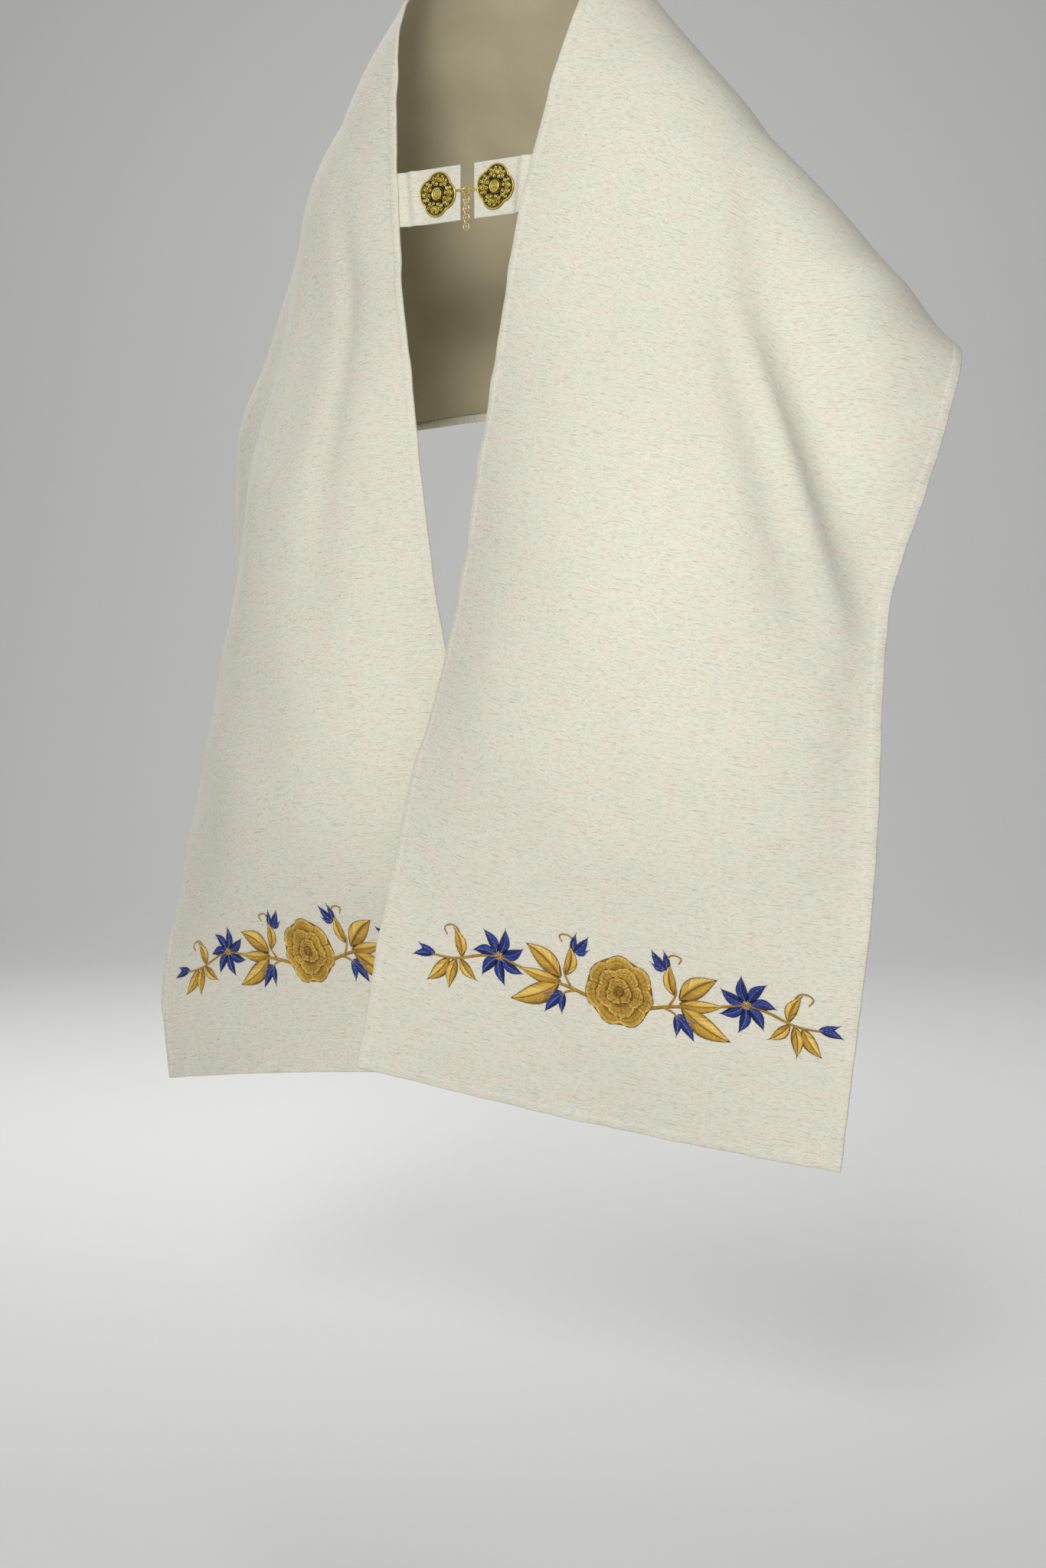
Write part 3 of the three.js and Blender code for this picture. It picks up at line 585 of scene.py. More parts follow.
def tab_face(half, lift, share_along, share_up):
    """A tab's front, from its free end to its seam: each level is a smooth line from the flat stretch
    at the clasp to the underside of the panel's edge. Upright puckers push it out, leaning a little."""
    sign = 1 if half == "left" else -1
    z = TAB_MIDDLE_Z + TAB_HEIGHT * (share_up[0] - 0.5)
    along = np.arange(600, 1200)
    edge_z = inner_rail(reached_from(half, along) / CLOTH_LENGTH)[:, 2]
    at = reached_from(half, np.interp(z, edge_z, along))
    rows = []
    under = np.full(at.shape, -LINING_BACK - TAB_SEAM_GAP)
    for across_place in (TAB_SEAM_ACROSS / 3, TAB_SEAM_ACROSS):
        sewn = on_cloth(at, np.full(at.shape, across_place), under)
        rows.append(np.stack([sewn[:, 0], sewn[:, 1], z], -1))
    free = [np.stack([np.full(z.shape, sign * x), np.full(z.shape, TAB_FRONT_Y), z], -1)
            for x in (TAB_END_X, (TAB_END_X + TAB_BEND_X) / 2, TAB_BEND_X - TAB_BEND_LENGTH, TAB_BEND_X)]
    soft = free[-1] * (1 - TAB_SEWN_SHARE) + rows[0] * TAB_SEWN_SHARE
    soft[:, 1] = (free[-1][:, 1] + rows[0][:, 1]) / 2
    levels = np.stack([*free, soft, *rows], 1)
    line = np.stack([smooth_curve(level)(share_along[:, 0]) for level in levels], 1)
    normal = np.cross(np.gradient(line, axis=0), np.gradient(line, axis=1)) * sign
    normal = normal / np.linalg.norm(normal, axis=-1, keepdims=True)
    for x, width, rise, lean in TAB_PUCKERS:
        middle = x + lean * (line[..., 2] - TAB_MIDDLE_Z)
        lift = lift + rise * np.exp(-(((np.abs(line[..., 0]) - middle) / width) ** 2))
    return line + lift[..., None] * normal


out = grid_lines(TAB_LENGTH, TAB_EDGE_LINES, TAB_CELL)
up = grid_lines(TAB_HEIGHT, TAB_EDGE_LINES, TAB_CELL)
out, up = np.meshgrid(out, up, indexing="ij")
from_edge = np.minimum(np.minimum(out, TAB_LENGTH - out), np.minimum(up, TAB_HEIGHT - up))
drop = edge_drop(from_edge, TAB_THICKNESS / 2)
laid_out = pillow_values(np.stack([out, up], -1) * MM)
for half in ("left", "right"):
    upper = tab_face(half, -drop, out / TAB_LENGTH, up / TAB_HEIGHT)
    lower = tab_face(half, drop - TAB_THICKNESS, out / TAB_LENGTH, up / TAB_HEIGHT)
    points, faces = pillow(upper, lower)
    if half == "right":
        faces = faces[:, ::-1]
    tab = new_piece(f"tab_cloth_{half}", points, faces, cream_cloth, "cream_cloth", uv=laid_out)
    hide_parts(f"clasp_tab_{half}")


# The clasp plates: stamped and gilded brass in four overlapping rounds. Scrolls of wire, grains and
# a flat button stand on a dark ground. The left plate carries the eye and the right one the hook.
PLATE_X = 35.5
PLATE_RADIUS = 22.5
PLATE_GROUND = 1.0
PLATE_TURN = -12
LOBE_SHIFT = 0.36
BOSS_RADIUS = 5.8
BOSS_HEIGHT = 2.9
CLASP_Z = -99
WIRE_RADIUS = 0.7
EYE_RADIUS = 3.8
PLATE_BACK_Y = TAB_FRONT_Y - 0.3
CLASP_Y = PLATE_BACK_Y - 0.9
PLATE_STEPS = 120
GRAIN_POINTS = 14
PLATE_PROFILE = [(0, PLATE_GROUND), (0.4, PLATE_GROUND), (0.9, PLATE_GROUND), (0.98, 1.3), (1.0, 0.8),
                 (0.99, 0.1), (0.95, 0), (0.5, 0), (0, 0)]
BUTTON_PROFILE = [(0, BOSS_HEIGHT), (0.5, BOSS_HEIGHT), (0.78, BOSS_HEIGHT - 0.1),
                  (0.9, BOSS_HEIGHT - 0.5), (1.0, 1.6), (1.0, 1.1), (0.9, 0.9), (0, 0.9)]
RIM_SHARE = 0.975
RIM_GRAIN_SHARE = 0.925
RIM_HEIGHT = 1.4
FORWARD = (0, -1, 0)
RIM_GRAINS = 84
BOSS_GRAINS = 26
# Wires of one quarter, on both sides of a lobe's middle line, which points outwards along x: the
# middle of the scroll, its first radius, turns, the angle where it starts, and the wire's radius.
SCROLLS = [
    ((14.6, 3.3), 2.9, 1.6, -150, 0.50),
    ((9.9, 2.4), 1.9, 1.4, 20, 0.42),
    ((10.6, 7.0), 2.2, 1.5, -60, 0.46),
    ((15.0, 8.2), 1.7, 1.3, 120, 0.40),
    ((18.2, 2.4), 1.5, 1.2, 60, 0.40),
]
LOBE_GRAINS = [(8.2, 4.9, 0.55), (12.2, 4.9, 0.5), (17.4, 5.6, 0.5), (12.6, 10.4, 0.5), (8.6, 8.6, 0.55),
               (19.4, 0, 0.6), (12.1, 0, 0.5), (16.6, 0, 0.5)]


def even_angles(count, start=0.0):
    return start + np.arange(count) * 2 * np.pi / count


def polar(reach, angle):
    """Places in a plane, told by their distances and angles from the middle."""
    return np.stack([reach * np.cos(angle), reach * np.sin(angle)], -1)


def turned_by(flat, angle):
    """Places in a plane, turned about the middle."""
    x, y = flat[..., 0], flat[..., 1]
    return np.stack([x * np.cos(angle) - y * np.sin(angle), x * np.sin(angle) + y * np.cos(angle)], -1)


def in_plane(flat, height):
    """Points of the plate's plane, x and z, at a height in front of its back."""
    return np.stack([flat[..., 0], np.broadcast_to(-height, flat.shape[:-1]), flat[..., 1]], -1)


def plate_radius(angle):
    """The outline: four overlapping rounds, one to each side, whose middles lie at a share of the
    radius, so that the outline is a lobe's round measured from the plate's own middle."""
    from_lobe = angle - np.pi / 2 * np.round(angle / (np.pi / 2))
    reach = np.sqrt((1 - LOBE_SHIFT) ** 2 - (LOBE_SHIFT * np.sin(from_lobe)) ** 2)
    return PLATE_RADIUS * (LOBE_SHIFT * np.cos(from_lobe) + reach)


def joined(parts):
    """One set of points, faces and values from several, each (points, faces, value)."""
    offsets = np.cumsum([0] + [len(points) for points, _, _ in parts[:-1]])
    return (
        np.concatenate([points for points, _, _ in parts]),
        np.concatenate([faces + offset for (_, faces, _), offset in zip(parts, offsets)]),
        np.concatenate([np.broadcast_to(value, len(points)) for points, _, value in parts]),
    )


def tube(path, radius, up, sides=8, closed=False, value=1.0):
    """A round wire: a circle carried along a path, square to the path's direction. Its ends are
    closed by a point, and a closed path runs into its own start."""
    path = np.asarray(path, float)
    if closed:
        ahead = np.roll(path, -1, 0) - np.roll(path, 1, 0)
    else:
        ahead = np.gradient(path, axis=0)
    side = np.cross(ahead, up)
    side = side / np.linalg.norm(side, axis=-1, keepdims=True)
    over = np.cross(side, ahead)
    over = over / np.linalg.norm(over, axis=-1, keepdims=True)
    angle = even_angles(sides)
    radius = np.broadcast_to(radius, len(path))[:, None, None]
    ring = side[:, None] * np.cos(angle)[:, None] + over[:, None] * np.sin(angle)[:, None]
    points = (path[:, None] + radius * ring).reshape(-1, 3)
    count = len(path)
    here = np.arange(count if closed else count - 1)[:, None] * sides
    there = (here + sides) % (count * sides)
    k = np.arange(sides)
    after = (k + 1) % sides
    quads = np.stack([here + k, there + k, there + after, here + after], -1).reshape(-1, 4)
    faces = np.concatenate([quads[:, [0, 1, 2]], quads[:, [0, 2, 3]]])
    if not closed:
        first, last = len(points), len(points) + 1
        points = np.concatenate([points, path[[0]], path[[-1]]])
        start_cap = np.stack([k, after, np.full(sides, first)], -1)
        end_cap = np.stack([(count - 1) * sides + after, (count - 1) * sides + k, np.full(sides, last)], -1)
        faces = np.concatenate([faces, start_cap, end_cap])
    return points, faces[:, ::-1], value


def grain(centres, radii, value=1.0):
    """Round grains: each is a ball of two rings of six points and two poles."""
    angle = np.arange(6) * np.pi / 3
    rings = [np.stack([np.cos(angle + turn) * flat, np.full(6, rise), np.sin(angle + turn) * flat], -1)
             for flat, rise, turn in ((0.85, -0.5, 0), (0.85, 0.5, np.pi / 6))]
    ball = np.concatenate([*rings, [(0, -1, 0), (0, 1, 0)]])
    k = np.arange(6)
    after = (k + 1) % 6
    faces = np.concatenate([
        np.stack([k, after, np.full(6, 12)], -1), np.stack([after, k, k + 6], -1),
        np.stack([after, k + 6, after + 6], -1), np.stack([after + 6, k + 6, np.full(6, 13)], -1),
    ])
    points = np.asarray(centres, float)[:, None] + np.asarray(radii, float)[:, None, None] * ball
    many = faces + np.arange(len(points))[:, None, None] * len(ball)
    return points.reshape(-1, 3), many.reshape(-1, 3), value


def turned_disc(radius_at, profile, steps, value):
    """A closed disc whose outline is radius_at(angle): profile gives shares of the radius and heights,
    from the middle of the front to the middle of the back."""
    angle = even_angles(steps)
    share, height = np.array(profile[1:-1], float).T
    rings = in_plane(polar(radius_at(angle) * share[:, None], angle), height[:, None])
    points = np.concatenate([[(0, -profile[0][1], 0)], rings.reshape(-1, 3), [(0, -profile[-1][1], 0)]])
    k = np.arange(steps)
    after = (k + 1) % steps
    last = (len(share) - 1) * steps + 1
    faces = [np.stack([np.zeros(steps, int), 1 + k, 1 + after], -1)]
    for ring in range(len(share) - 1):
        here, there = 1 + ring * steps, 1 + (ring + 1) * steps
        faces.append(np.stack([here + k, there + k, there + after], -1))
        faces.append(np.stack([here + k, there + after, here + after], -1))
    faces.append(np.stack([last + after, last + k, np.full(steps, len(points) - 1)], -1))
    return points, np.concatenate(faces), value


def scroll(middle, radius, turns, start, steps=34):
    """A spiral in the plate's plane: its radius shrinks evenly to a fifth over its turns."""
    share = np.linspace(0, 1, steps)
    angle = math.radians(start) + share * turns * 2 * np.pi
    return np.array(middle) + polar(radius * (1 - 0.8 * share), angle)


def rim_points(share, count):
    """Places around the plate's outline, drawn in to a share of its radius."""
    angle = even_angles(count)
    return polar(share * plate_radius(angle), angle)


def clasp_plate():
    """The ground, the rims, the mirrored scrolls and grains of four lobes, and the button."""
    parts = [
        turned_disc(plate_radius, PLATE_PROFILE, PLATE_STEPS, 0.0),
        tube(in_plane(rim_points(RIM_SHARE, PLATE_STEPS), RIM_HEIGHT), 0.6, FORWARD, closed=True, value=0.8),
        grain(in_plane(rim_points(RIM_GRAIN_SHARE, RIM_GRAINS), RIM_HEIGHT), np.full(RIM_GRAINS, 0.46), 0.9),
    ]
    spots = np.array([(x, y * side) for x, y, _ in LOBE_GRAINS for side in (1, -1) if y or side > 0], float)
    sizes = np.array([size for _, y, size in LOBE_GRAINS for side in (1, -1) if y or side > 0])
    for quarter in even_angles(4):
        for mirrored in (1, -1):
            for middle, first_radius, turns, start, wire in SCROLLS:
                line = turned_by(scroll(middle, first_radius, turns, start) * (1, mirrored), quarter)
                path = in_plane(line, 1.5 + 0.5 * np.linspace(0, 1, len(line)))
                parts.append(tube(path, wire * np.linspace(1, 1.25, len(line)), FORWARD, 6))
        parts.append(grain(in_plane(turned_by(spots, quarter), 1.6), sizes))
    parts.append(turned_disc(lambda angle: np.full(angle.shape, BOSS_RADIUS - 0.6), BUTTON_PROFILE, 40, 0.45))
    around_button = polar(1, even_angles(PLATE_STEPS))
    button_rim = in_plane(around_button * (BOSS_RADIUS - 0.5), BOSS_HEIGHT)
    button_ring = in_plane(around_button * 2.5, BOSS_HEIGHT + 0.1)
    parts.append(tube(button_rim, 0.75, FORWARD, closed=True))
    parts.append(tube(button_ring, 0.36, FORWARD, 6, closed=True, value=0.9))
    for reach, height, size in ((BOSS_RADIUS + 1.0, 1.5, 0.42), (3.9, BOSS_HEIGHT, 0.3)):
        places = in_plane(polar(reach, even_angles(BOSS_GRAINS)), height)
        parts.append(grain(places, np.full(BOSS_GRAINS, size), 0.9))
    parts.append(grain(in_plane(np.zeros((1, 2)), BOSS_HEIGHT + 0.2), [1.1]))
    return parts


def placed_plate(parts, sign):
    """The plate turned in its own plane and moved to its side of the clasp."""
    placed = []
    for points, faces, value in parts:
        flat = turned_by(points[:, [0, 2]], math.radians(PLATE_TURN))
        moved = np.stack([sign * PLATE_X + flat[:, 0], PLATE_BACK_Y + points[:, 1], CLASP_Z + flat[:, 1]], -1)
        placed.append((moved, faces, value))
    return placed


def gilt_brass(name, dull, bright):
    """Gilded brass between a dull and a bright gold where relief is 0.7 or more, darker below that and
    nearly black in the ground, where relief is 0, with fine pits and patches of wear."""
    brass = Finish(name, Metallic=0.6)
    place = brass.node("ShaderNodeTexCoord", {}, {}, 3)
    relief = brass.node("ShaderNodeAttribute", {"attribute_name": "relief"}, {}, 2)
    grit = brass.noise(place, (0.0022, 0.0022, 0.0022), 3)
    worn = brass.noise(place, (0.009, 0.009, 0.009), 2)
    raised = brass.ramp(relief, (0.0, (0, 0, 0)), (0.7, (1, 1, 1)))
    gold = brass.ramp(worn, (0.35, dull), (0.6, bright))
    rubbed = brass.mix(0.25 * grit, gold, (0.40, 0.28, 0.07, 1))
    ground = brass.ramp(grit, (0.3, (0.016, 0.012, 0.005)), (0.7, (0.06, 0.045, 0.015)))
    roughness = 0.56 - 0.24 * raised + 0.12 * grit
    brass.surface(Base_Color=brass.mix(raised, ground, rubbed), Roughness=roughness)
    brass.bump(grit, 0.0001, 0.4)
    return brass.material


def face_on(flat, middle_z):
    """Points of the clasp's own plane, x and z, about a middle."""
    return np.stack([flat[:, 0], np.full(len(flat), CLASP_Y), middle_z + flat[:, 1]], -1)


brass = gilt_brass("gilt_brass", (0.70, 0.52, 0.06), (1.0, 0.84, 0.22))
lobe_x = PLATE_X - PLATE_RADIUS * 0.86
eye_ring = face_on(polar(EYE_RADIUS, even_angles(36)), CLASP_Z)
eye_line = [(x, CLASP_Y, CLASP_Z) for x in (lobe_x, EYE_RADIUS + 4, EYE_RADIUS + 0.2)]
eye_arm = smooth_curve(eye_line)(np.linspace(0, 1, 12))
# The hook's wire runs out of its plate, passes in front of the eye and bends back through it.
HOOK_Z = CLASP_Z + 1.2
HOOK_LINE = [(-lobe_x, 0), (-9.5, -0.9), (-5.5, -2.8), (-1.6, -2.8), (0.2, -0.2), (-1.6, 2.2), (-4.5, 2.3)]
hook = smooth_curve([(x, CLASP_Y + behind, HOOK_Z) for x, behind in HOOK_LINE])(np.linspace(0, 1, 48))
fittings = {
    "left": (1, [tube(eye_ring, WIRE_RADIUS, FORWARD, 10, closed=True), tube(eye_arm, 0.8, (0, 0, 1), 10)]),
    "right": (-1, [tube(hook, WIRE_RADIUS, (0, 0, 1), 10)]),
}
for half, (sign, extra) in fittings.items():
    points, faces, relief = joined(placed_plate(clasp_plate(), sign) + extra)
    plate = new_piece(f"filigree_plate_{half}", points, faces, brass, "gilt_brass", relief=relief)
    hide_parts(f"clasp_plate_{half}")


# The chain tail: four face-on rings with a little rosette in each, and a plain link before each
# one, bent up from gilt wire. It hangs from the eye and swings on it.
LINK_RADIUS = 2.6
RING_RADIUS = 3.5
RING_COUNT = 4
LINK_STEP = 2 * WIRE_RADIUS + 0.3
ROSETTE_RADIUS = 1.15


def chain_ring(middle_z):
    """A ring in the plane of the front, with a rosette held by two short wires."""
    ring = face_on(polar(RING_RADIUS, even_angles(32)), middle_z)
    parts = [tube(ring, WIRE_RADIUS, FORWARD, 8, closed=True)]
    for side in (-1, 1):
        spoke = np.linspace((side * 0.6, CLASP_Y, middle_z), (side * RING_RADIUS, CLASP_Y, middle_z), 4)
        parts.append(tube(spoke, 0.4, (0, 0, 1), 6))
    petals = face_on(polar(ROSETTE_RADIUS, even_angles(5, np.pi / 2)), middle_z)
    parts.append(grain(petals, np.full(5, 0.62)))
    parts.append(grain([(0, CLASP_Y - 0.3, middle_z)], [0.6]))
    return parts


def chain_link(middle_z):
    """A plain link seen edge on, in the plane that runs from front to back."""
    flat = polar(LINK_RADIUS, even_angles(28))
    ring = np.stack([np.zeros(len(flat)), CLASP_Y + flat[:, 0], middle_z + flat[:, 1]], -1)
    return [tube(ring, WIRE_RADIUS, (1, 0, 0), 8, closed=True)]


pale_brass = gilt_brass("pale_gilt_brass", (0.78, 0.58, 0.28), (0.98, 0.84, 0.54))
wire_z = CLASP_Z - EYE_RADIUS
for turn in range(2 * RING_COUNT):
    kind, radius, shape = (("link", LINK_RADIUS, chain_link), ("ring", RING_RADIUS, chain_ring))[turn % 2]
    number = turn // 2 + 1
    middle_z = wire_z + LINK_STEP - radius
    points, faces, relief = joined(shape(middle_z))
    piece = new_piece(f"gilt_{kind}_{number}", points, faces, pale_brass, "gilt_brass", "chain_tail",
                      relief=relief)
    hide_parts(f"chain_{kind}_{number}")
    wire_z = middle_z - radius


# The borders: machine embroidery above each hem in gold and blue thread, worked through the outer
# cloth. Every thread of the fillings is its own raised stitch over a thin underlay. Places are on
# the laid-out cloth: x from the rose outwards, y up from the middle of the band.
STITCH_LIFT = 0.25
STITCH_WIDTH = 0.85
STITCH_HEIGHT = 0.42
STITCH_POINTS = 4
STITCH_SEED = 11
THREAD_SPACING = 0.62
LEAF_SLANT = 0.24
OUTLINE_SIDE = 1.02
ROSE_SPACING = 0.66
ROSE_STITCH = 8.5
ROSE_GROUND_RADIUS = 33.5
ROSE_GROUND_LINES = 31
UNDERLAY_LIFT = 0.1
UNDERLAY_PAD = 0.45
HEART_KNOTS = 33
SUNFLOWER_ANGLE = 2.39996
BORDERS = [("left", 143, 265), ("right", 128, 250)]
ROSE_PETALS = [
    # middle angle, spread, inner radius, outer radius, pad
    (90, 62, 20, 35.5, 0.5), (38, 56, 20, 36.0, 0.4), (-12, 54, 20, 34.5, 0.5), (-60, 60, 21, 36.0, 0.4),
    (-112, 62, 21, 35.0, 0.5), (-164, 56, 20, 36.0, 0.4), (143, 56, 20, 34.5, 0.5),
    (64, 84, 10, 26.0, 1.0), (-10, 76, 11, 24.5, 0.9), (-82, 88, 11, 26.0, 1.0), (-156, 78, 11, 25.0, 0.9),
    (134, 76, 10, 24.5, 1.0),
    (100, 140, 3, 14.5, 1.5), (-22, 124, 3, 13.5, 1.4), (-142, 124, 3, 14.5, 1.5),
]
STAR_FLOWER = {"x": 127, "y": 9, "tip": 28, "heart": 4.4, "petals": 7, "width": 10.5, "bow": 2.6}
STEMS = [
    # width, points that the stem's curve goes through
    (3.6, [(28, -12), (50, -6), (86, 0), (127, 9)]),
    (3.0, [(127, 9), (150, 4), (172, -4), (202, -7)]),
    (2.3, [(50, -5), (57, 10), (50, 28), (53, 46), (62, 44), (59, 38)]),
    (2.3, [(46, -8), (56, -12), (62, -18)]),
    (2.3, [(168, -3), (170, 12), (180, 27), (190, 22), (186, 16)]),
]
LEAVES = [
    # thread, foot x and y, turn, length, width, bow
    ("gold", 60, 2, 36, 46, 20, 3.0), ("gold", 60, -1, 6, 44, 12, -2.0),
    ("gold", 62, -3, -28, 58, 20, -4.0), ("gold", 55, 6, 98, 30, 12, 3.0),
    ("gold", 168, -2, 68, 28, 12, 3.0), ("gold", 170, -4, 222, 25, 11, 2.0),
    ("gold", 174, -5, -80, 30, 12, 2.0), ("gold", 182, -6, -52, 34, 13, -2.0),
    ("blue", 47, 30, 130, 22, 8.5, 1.4), ("blue", 47, 31, 96, 17, 6.5, -1.2),
    ("blue", 46, 30, 162, 14, 6, 1.2), ("blue", 58, -13, -50, 29, 9.5, 1.6),
    ("blue", 59, -12, -16, 20, 7.5, -1.4), ("blue", 57, -13, -84, 20, 7.5, 1.4),
    ("blue", 198, -6, -14, 24, 7.5, 1.2), ("blue", 198, -5, 14, 19, 6.5, -1.2),
]
draw = np.random.default_rng(STITCH_SEED)


def leaf_point(leaf, share, side):
    """A place on a leaf or petal: the midrib is a bowed line from the foot, and half the width there
    is a sine of the share to the power 0.85, so that it is widest below halfway and ends in a point."""
    x, y, turn, length, width, bow = leaf
    angle = math.radians(turn)
    ahead = np.array([math.cos(angle), math.sin(angle)])
    beside = np.array([-math.sin(angle), math.cos(angle)])
    share, side = np.broadcast_arrays(share, side)
    half = width / 2 * np.sin(np.pi * np.clip(share, 0, 1) ** 0.85)
    over = bow * 4 * share * (1 - share) + half * side
    return np.array([x, y]) + length * share[..., None] * ahead + over[..., None] * beside


def between(first, last):
    """Values at a stitch's points, evenly from the first to the last, a row for each stitch."""
    return first[:, None] + (last - first)[:, None] * np.linspace(0, 1, STITCH_POINTS)


def line_stitches(leaf, first, stitch, side, width, pad, tone):
    """Short stitches in one line along a leaf, at a share of its half width."""
    share = between(first, first + stitch / leaf[3])
    return leaf_point(leaf, share, side), width, pad, np.full(len(first), tone)


def leaf_stitches(leaf):
    """Fishbone filling: threads leave the midrib on both sides and run forward to the edge. Then a
    darker outline of short stitches, and the midrib."""
    length = leaf[3]
    count = int(length / THREAD_SPACING)
    rows = []
    for side in (-1, 1):
        first = np.linspace(0.01, 0.93, count) + draw.uniform(-0.004, 0.004, count)
        last = np.minimum(first + LEAF_SLANT * np.minimum(1, (1 - first) * 1.6), 0.995)
        reach = side * draw.uniform(0.92, 1.03, count)
        path = leaf_point(leaf, between(first, last), between(side * np.full(count, 0.04), reach))
        tone = 0.68 + 0.14 * side + draw.uniform(-0.16, 0.16, count)
        rows.append((path, STITCH_WIDTH, 0.55, tone - 0.18 * (first < 0.25)))
        edge = np.linspace(0.02, 0.93, max(4, int(length / 3.6)))
        rows.append(line_stitches(leaf, edge, 4.2, side * OUTLINE_SIDE, 0.7, 0.25, 0.12))
    rib = np.linspace(0, 0.86, max(3, int(length / 4)))
    rows.append(line_stitches(leaf, rib, 4.6, 0, 0.7, 0.5, 0.1))
    return rows


def petal_stitches(leaf):
    """A blue petal: long threads at a narrow angle to the midrib, darker on one side, and a pale
    vein down the middle."""
    length = leaf[3]
    count = int(length / THREAD_SPACING)
    rows = []
    for side, tone in ((-1, 0.34), (1, 0.62)):
        first = np.linspace(0.0, 0.90, count) + draw.uniform(-0.006, 0.006, count)
        last = np.minimum(first + 0.34, 0.995)
        reach = side * draw.uniform(0.90, 1.04, count)
        path = leaf_point(leaf, between(first, last), between(side * np.full(count, 0.05), reach))
        rows.append((path, STITCH_WIDTH, 0.5, tone + draw.uniform(-0.12, 0.12, count)))
        edge = np.linspace(0.03, 0.9, max(3, int(length / 4)))
        rows.append(line_stitches(leaf, edge, 4.4, side * OUTLINE_SIDE, 0.6, 0.2, 0.08))
    rib = np.linspace(0.05, 0.72, max(3, int(length / 4.5)))
    rows.append(line_stitches(leaf, rib, 4.0, 0, 0.45, 0.62, 0.98))
    return rows


def rose_stitches(petal):
    """One petal of the rose: threads follow arcs that bow outwards, and the arcs are broken into
    stitches that change places from row to row. The tone rises from the root to the rim."""
    middle, spread, inner, outer, pad = petal
    rows = []
    levels = np.linspace(0.04, 1, int((outer - inner) / ROSE_SPACING))
    for k, level in enumerate(levels):
        length = math.radians(spread) * (inner + (outer - inner) * level)
        count = max(1, round(length / ROSE_STITCH))
        ends = (np.arange(count + 1) + (0.5 if k % 2 else 0)) / count
        ends = np.clip(np.append(0, ends), 0, 1)
        first, last = ends[:-1], ends[1:]
        kept = last - first > 0.02
        place = between(first[kept], last[kept]) * 2 - 1
        narrow = 1 - 0.10 * level**4
        angle = np.radians(middle + spread / 2 * place * narrow)
        frill = 0.35 * np.sin(5 * place + middle)
        reach = inner + (outer - inner) * level * (1 - 0.30 * place**2) + frill * level
        dark = 0.34 * np.exp(-((level - 0.10) / 0.20) ** 2) + 0.20 * np.exp(-((level - 0.66) / 0.07) ** 2)
        tone = 0.42 + 0.46 * level - dark + draw.uniform(-0.12, 0.12, kept.sum())
        if level > 0.97:
            tone = np.full(len(tone), 0.08)
        rows.append((polar(reach, angle), STITCH_WIDTH, pad, tone))
    side = np.linspace(0, 1, 6)[:-1]
    for end in (-1, 1):
        level = between(side, side + 0.2)
        angle = math.radians(middle) + math.radians(spread) / 2 * end * (1 - 0.10 * level**4)
        reach = inner + (outer - inner) * level * 0.70
        rows.append((polar(reach, angle), 0.6, pad + 0.15, np.full(len(side), 0.1)))
    return rows


def heart_stitches():
    """The rose's heart: one thread that winds out in a spiral, in short stitches."""
    turn = np.linspace(0, 1, 40)
    first = turn[:-1]
    share = between(first, turn[1:])
    angle, reach = 2 * np.pi * 2.6 * share, 0.6 + 3.4 * share
    return [(polar(reach, angle), 0.8, 1.7, 0.45 + 0.25 * np.sin(9 * first))]


def stem_stitches(width, through):
    """A stem: short threads laid slantwise across a smooth curve, like the turns of a cord."""
    curve = smooth_curve([(x, y, 0) for x, y in through])
    length = np.linalg.norm(np.diff(curve(np.linspace(0, 1, 200)), axis=0), axis=1).sum()
    share = np.linspace(0.01, 0.99, int(length / THREAD_SPACING))
    middle = curve(share)[:, :2]
    ahead = (curve(share + 0.005) - curve(share - 0.005))[:, :2]
    ahead = ahead / np.linalg.norm(ahead, axis=1, keepdims=True)
    beside = np.stack([-ahead[:, 1], ahead[:, 0]], -1)
    width = width * (1 - 0.35 * share)[:, None]
    step = np.linspace(-0.5, 0.5, STITCH_POINTS)[None, :, None]
    path = middle[:, None] + step * (width * beside + 0.9 * width * ahead)[:, None]
    return [(path, 0.75, 0.35, 0.40 + draw.uniform(-0.12, 0.12, len(share)))]


def mirrored(rows):
    """The same stitches on the other side of the rose."""
    return [(path * (-1, 1), width, pad, tone) for path, width, pad, tone in rows]


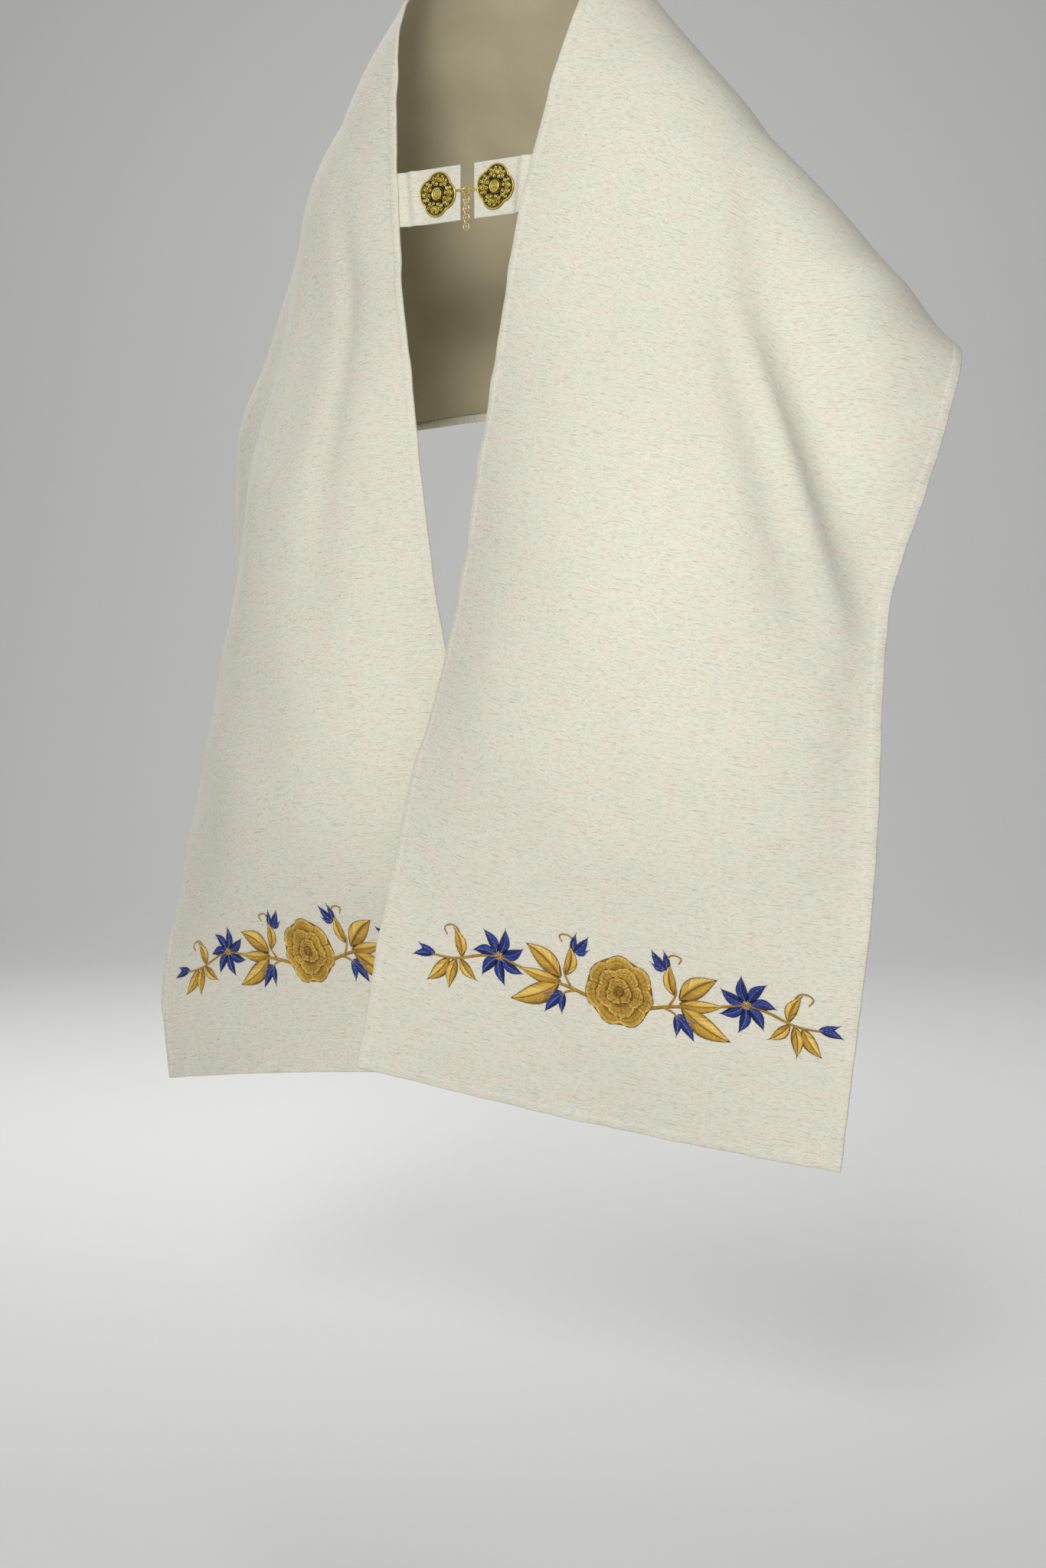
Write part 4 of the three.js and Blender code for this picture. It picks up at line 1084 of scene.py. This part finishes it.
def stitch_mesh(rows, half, along, across):
    """Every stitch as a thin ridge of three points a section over its path, narrowed at both ends
    and raised in the middle by its pad, put on the cloth."""
    path = np.concatenate([row[0] for row in rows])
    count = [len(row[0]) for row in rows]
    width = np.repeat([row[1] for row in rows], count)[:, None]
    pad = np.repeat([row[2] for row in rows], count)[:, None]
    tone = np.concatenate([row[3] for row in rows])
    ahead = np.gradient(path, axis=1)
    ahead = ahead / np.maximum(np.linalg.norm(ahead, axis=-1, keepdims=True), 1e-6)
    beside = np.stack([-ahead[..., 1], ahead[..., 0]], -1)
    station = np.linspace(0, 1, STITCH_POINTS)
    full = 0.45 + 0.55 * np.sin(np.pi * station)
    base = STITCH_LIFT + pad * (0.35 + 0.65 * np.sin(np.pi * station))
    sideways = np.array([-0.5, 0, 0.5])[:, None] * (width * full)[..., None, None]
    flat = path[:, :, None] + sideways * beside[:, :, None]
    lift = base[..., None] + np.array([0, 1, 0]) * (STITCH_HEIGHT * full)[:, None]
    points = on_cloth(reached_from(half, along + flat[..., 1]), across + flat[..., 0], lift)
    k = np.arange(STITCH_POINTS - 1)[:, None] * 3
    around_three = np.array([(0, 1), (1, 2), (2, 0)])
    quads = np.stack([k + around_three[:, 0], k + around_three[:, 1],
                      k + 3 + around_three[:, 1], k + 3 + around_three[:, 0]], -1).reshape(-1, 4)
    last = 3 * (STITCH_POINTS - 1)
    ends = [(0, 2, 1), (last, last + 1, last + 2)]
    faces = np.concatenate([quads[:, [0, 1, 2]], quads[:, [0, 2, 3]], ends])
    faces = (faces + np.arange(len(path))[:, None, None] * 3 * STITCH_POINTS).reshape(-1, 3)
    if half == "left":
        faces = faces[:, ::-1]
    return points.reshape(-1, 3), faces, np.repeat(tone, 3 * STITCH_POINTS)


def patch_mesh(flat, dome, half, along, across, tone):
    """The underlay below a shape: a thin closed pad over a grid of places, raised by its dome."""
    reached, over = reached_from(half, along + flat[..., 1]), across + flat[..., 0]
    upper = on_cloth(reached, over, UNDERLAY_LIFT + dome)
    lower = on_cloth(reached, over, np.full(dome.shape, UNDERLAY_LIFT))
    points, faces = pillow(upper, lower)
    if half == "right":
        faces = faces[:, ::-1]
    return points, np.concatenate([faces[:, [0, 1, 2]], faces[:, [0, 2, 3]]]), tone


def star_petals():
    """The petals of a star flower as leaves around its heart, all bowed one way."""
    x, y, tip, heart, count, width, bow = STAR_FLOWER.values()
    foot = heart * 0.6
    turns = np.arange(count) * 360 / count
    return [(x + foot * math.cos(math.radians(turn)), y + foot * math.sin(math.radians(turn)),
             turn, tip - foot, width, bow) for turn in turns]


def thread(name, *stops):
    """Shiny embroidery thread: tone picks its colour, and fine fibres run through the shine."""
    finish = Finish(name, Sheen_Weight=0.04, Specular_IOR_Level=0.5)
    tone = finish.node("ShaderNodeAttribute", {"attribute_name": "tone"}, {}, 2)
    place = finish.node("ShaderNodeTexCoord", {}, {}, 3)
    fibre = finish.noise(place, (0.0006, 0.0006, 0.0006), 2)
    colour = finish.ramp(tone + 0.16 * (fibre - 0.5), *stops)
    finish.surface(Base_Color=colour, Roughness=0.32 + 0.22 * fibre)
    finish.bump(fibre, 0.0001, 0.4)
    return finish.material


gold_thread = thread("gold_thread", (0.05, (0.10, 0.042, 0.006)), (0.30, (0.38, 0.20, 0.018)),
                     (0.60, (0.66, 0.39, 0.040)), (0.95, (0.92, 0.68, 0.19)))
blue_thread = thread("blue_thread", (0.05, (0.002, 0.004, 0.035)), (0.35, (0.004, 0.014, 0.14)),
                     (0.70, (0.010, 0.045, 0.34)), (0.98, (0.42, 0.55, 0.80)))
gold_rows, blue_rows, gold_shapes, blue_shapes = [], [], [], []
for kind, *leaf in LEAVES + [("blue", *petal) for petal in star_petals()]:
    fill, rows, shapes = ((leaf_stitches, gold_rows, gold_shapes) if kind == "gold"
                          else (petal_stitches, blue_rows, blue_shapes))
    stitches = fill(leaf)
    rows.extend(stitches + mirrored(stitches))
    shapes.append(leaf)
for width, through in STEMS:
    rows = stem_stitches(width, through)
    gold_rows.extend(rows + mirrored(rows))
for petal in ROSE_PETALS:
    gold_rows.extend(rose_stitches(petal))
gold_rows.extend(heart_stitches())
share, side = np.meshgrid(np.linspace(0.02, 0.98, 11), np.linspace(-0.98, 0.98, 5), indexing="ij")
pad = UNDERLAY_PAD * np.clip(8 * share * (1 - share), 0, 1) * (1 - side**2)


def knots(half, along, across):
    """The hearts of the star flowers: round knots in a sunflower's spiral."""
    k = np.arange(1, HEART_KNOTS + 1)
    spot = polar(STAR_FLOWER["heart"] * np.sqrt(k / HEART_KNOTS), k * SUNFLOWER_ANGLE)
    lift = 1.3 - 0.5 * (k / HEART_KNOTS) ** 2
    knot_tone = np.repeat(0.45 + 0.4 * (k % 3 == 0), GRAIN_POINTS)
    hearts = []
    for sign in (1, -1):
        x, y = sign * (STAR_FLOWER["x"] + spot[:, 0]), STAR_FLOWER["y"] + spot[:, 1]
        places = on_cloth(reached_from(half, along + y), across + x, lift)
        hearts.append(grain(places, np.full(HEART_KNOTS, 0.55), knot_tone))
    return hearts


def rose_ground(half, along, across):
    """The rose's underlay: a square grid drawn out to a disc, with a dome of three steps."""
    side = np.linspace(-1, 1, ROSE_GROUND_LINES)
    u, v = np.meshgrid(side, side, indexing="ij")
    disc = np.stack([u * np.sqrt(1 - v**2 / 2), v * np.sqrt(1 - u**2 / 2)], -1)
    ring = np.hypot(disc[..., 0], disc[..., 1])
    dome = 0.35 * (ring < 0.97) + 0.5 * (ring < 0.7) + 0.45 * (ring < 0.36)
    return patch_mesh(ROSE_GROUND_RADIUS * disc, dome, half, along, across, 0.2)


for half, along, across in BORDERS:
    gold_parts = [stitch_mesh(gold_rows, half, along, across), rose_ground(half, along, across)]
    gold_parts += knots(half, along, across)
    blue_parts = [stitch_mesh(blue_rows, half, along, across)]
    for parts, shapes in ((gold_parts, gold_shapes), (blue_parts, blue_shapes)):
        for leaf in shapes:
            flat = leaf_point(leaf, share, side)
            parts.append(patch_mesh(flat, pad, half, along, across, 0.25))
            parts.append(patch_mesh((flat * (-1, 1))[:, ::-1], pad[:, ::-1], half, along, across, 0.25))
    for name, parts, material, slot in (
        (f"gold_embroidery_{half}", gold_parts, gold_thread, "gold_thread"),
        (f"blue_embroidery_{half}", blue_parts, blue_thread, "blue_thread"),
    ):
        points, faces, tone = joined(parts)
        piece = new_piece(name, points, faces, material, slot, tone=tone)
        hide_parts(f"embroidery_{half}")
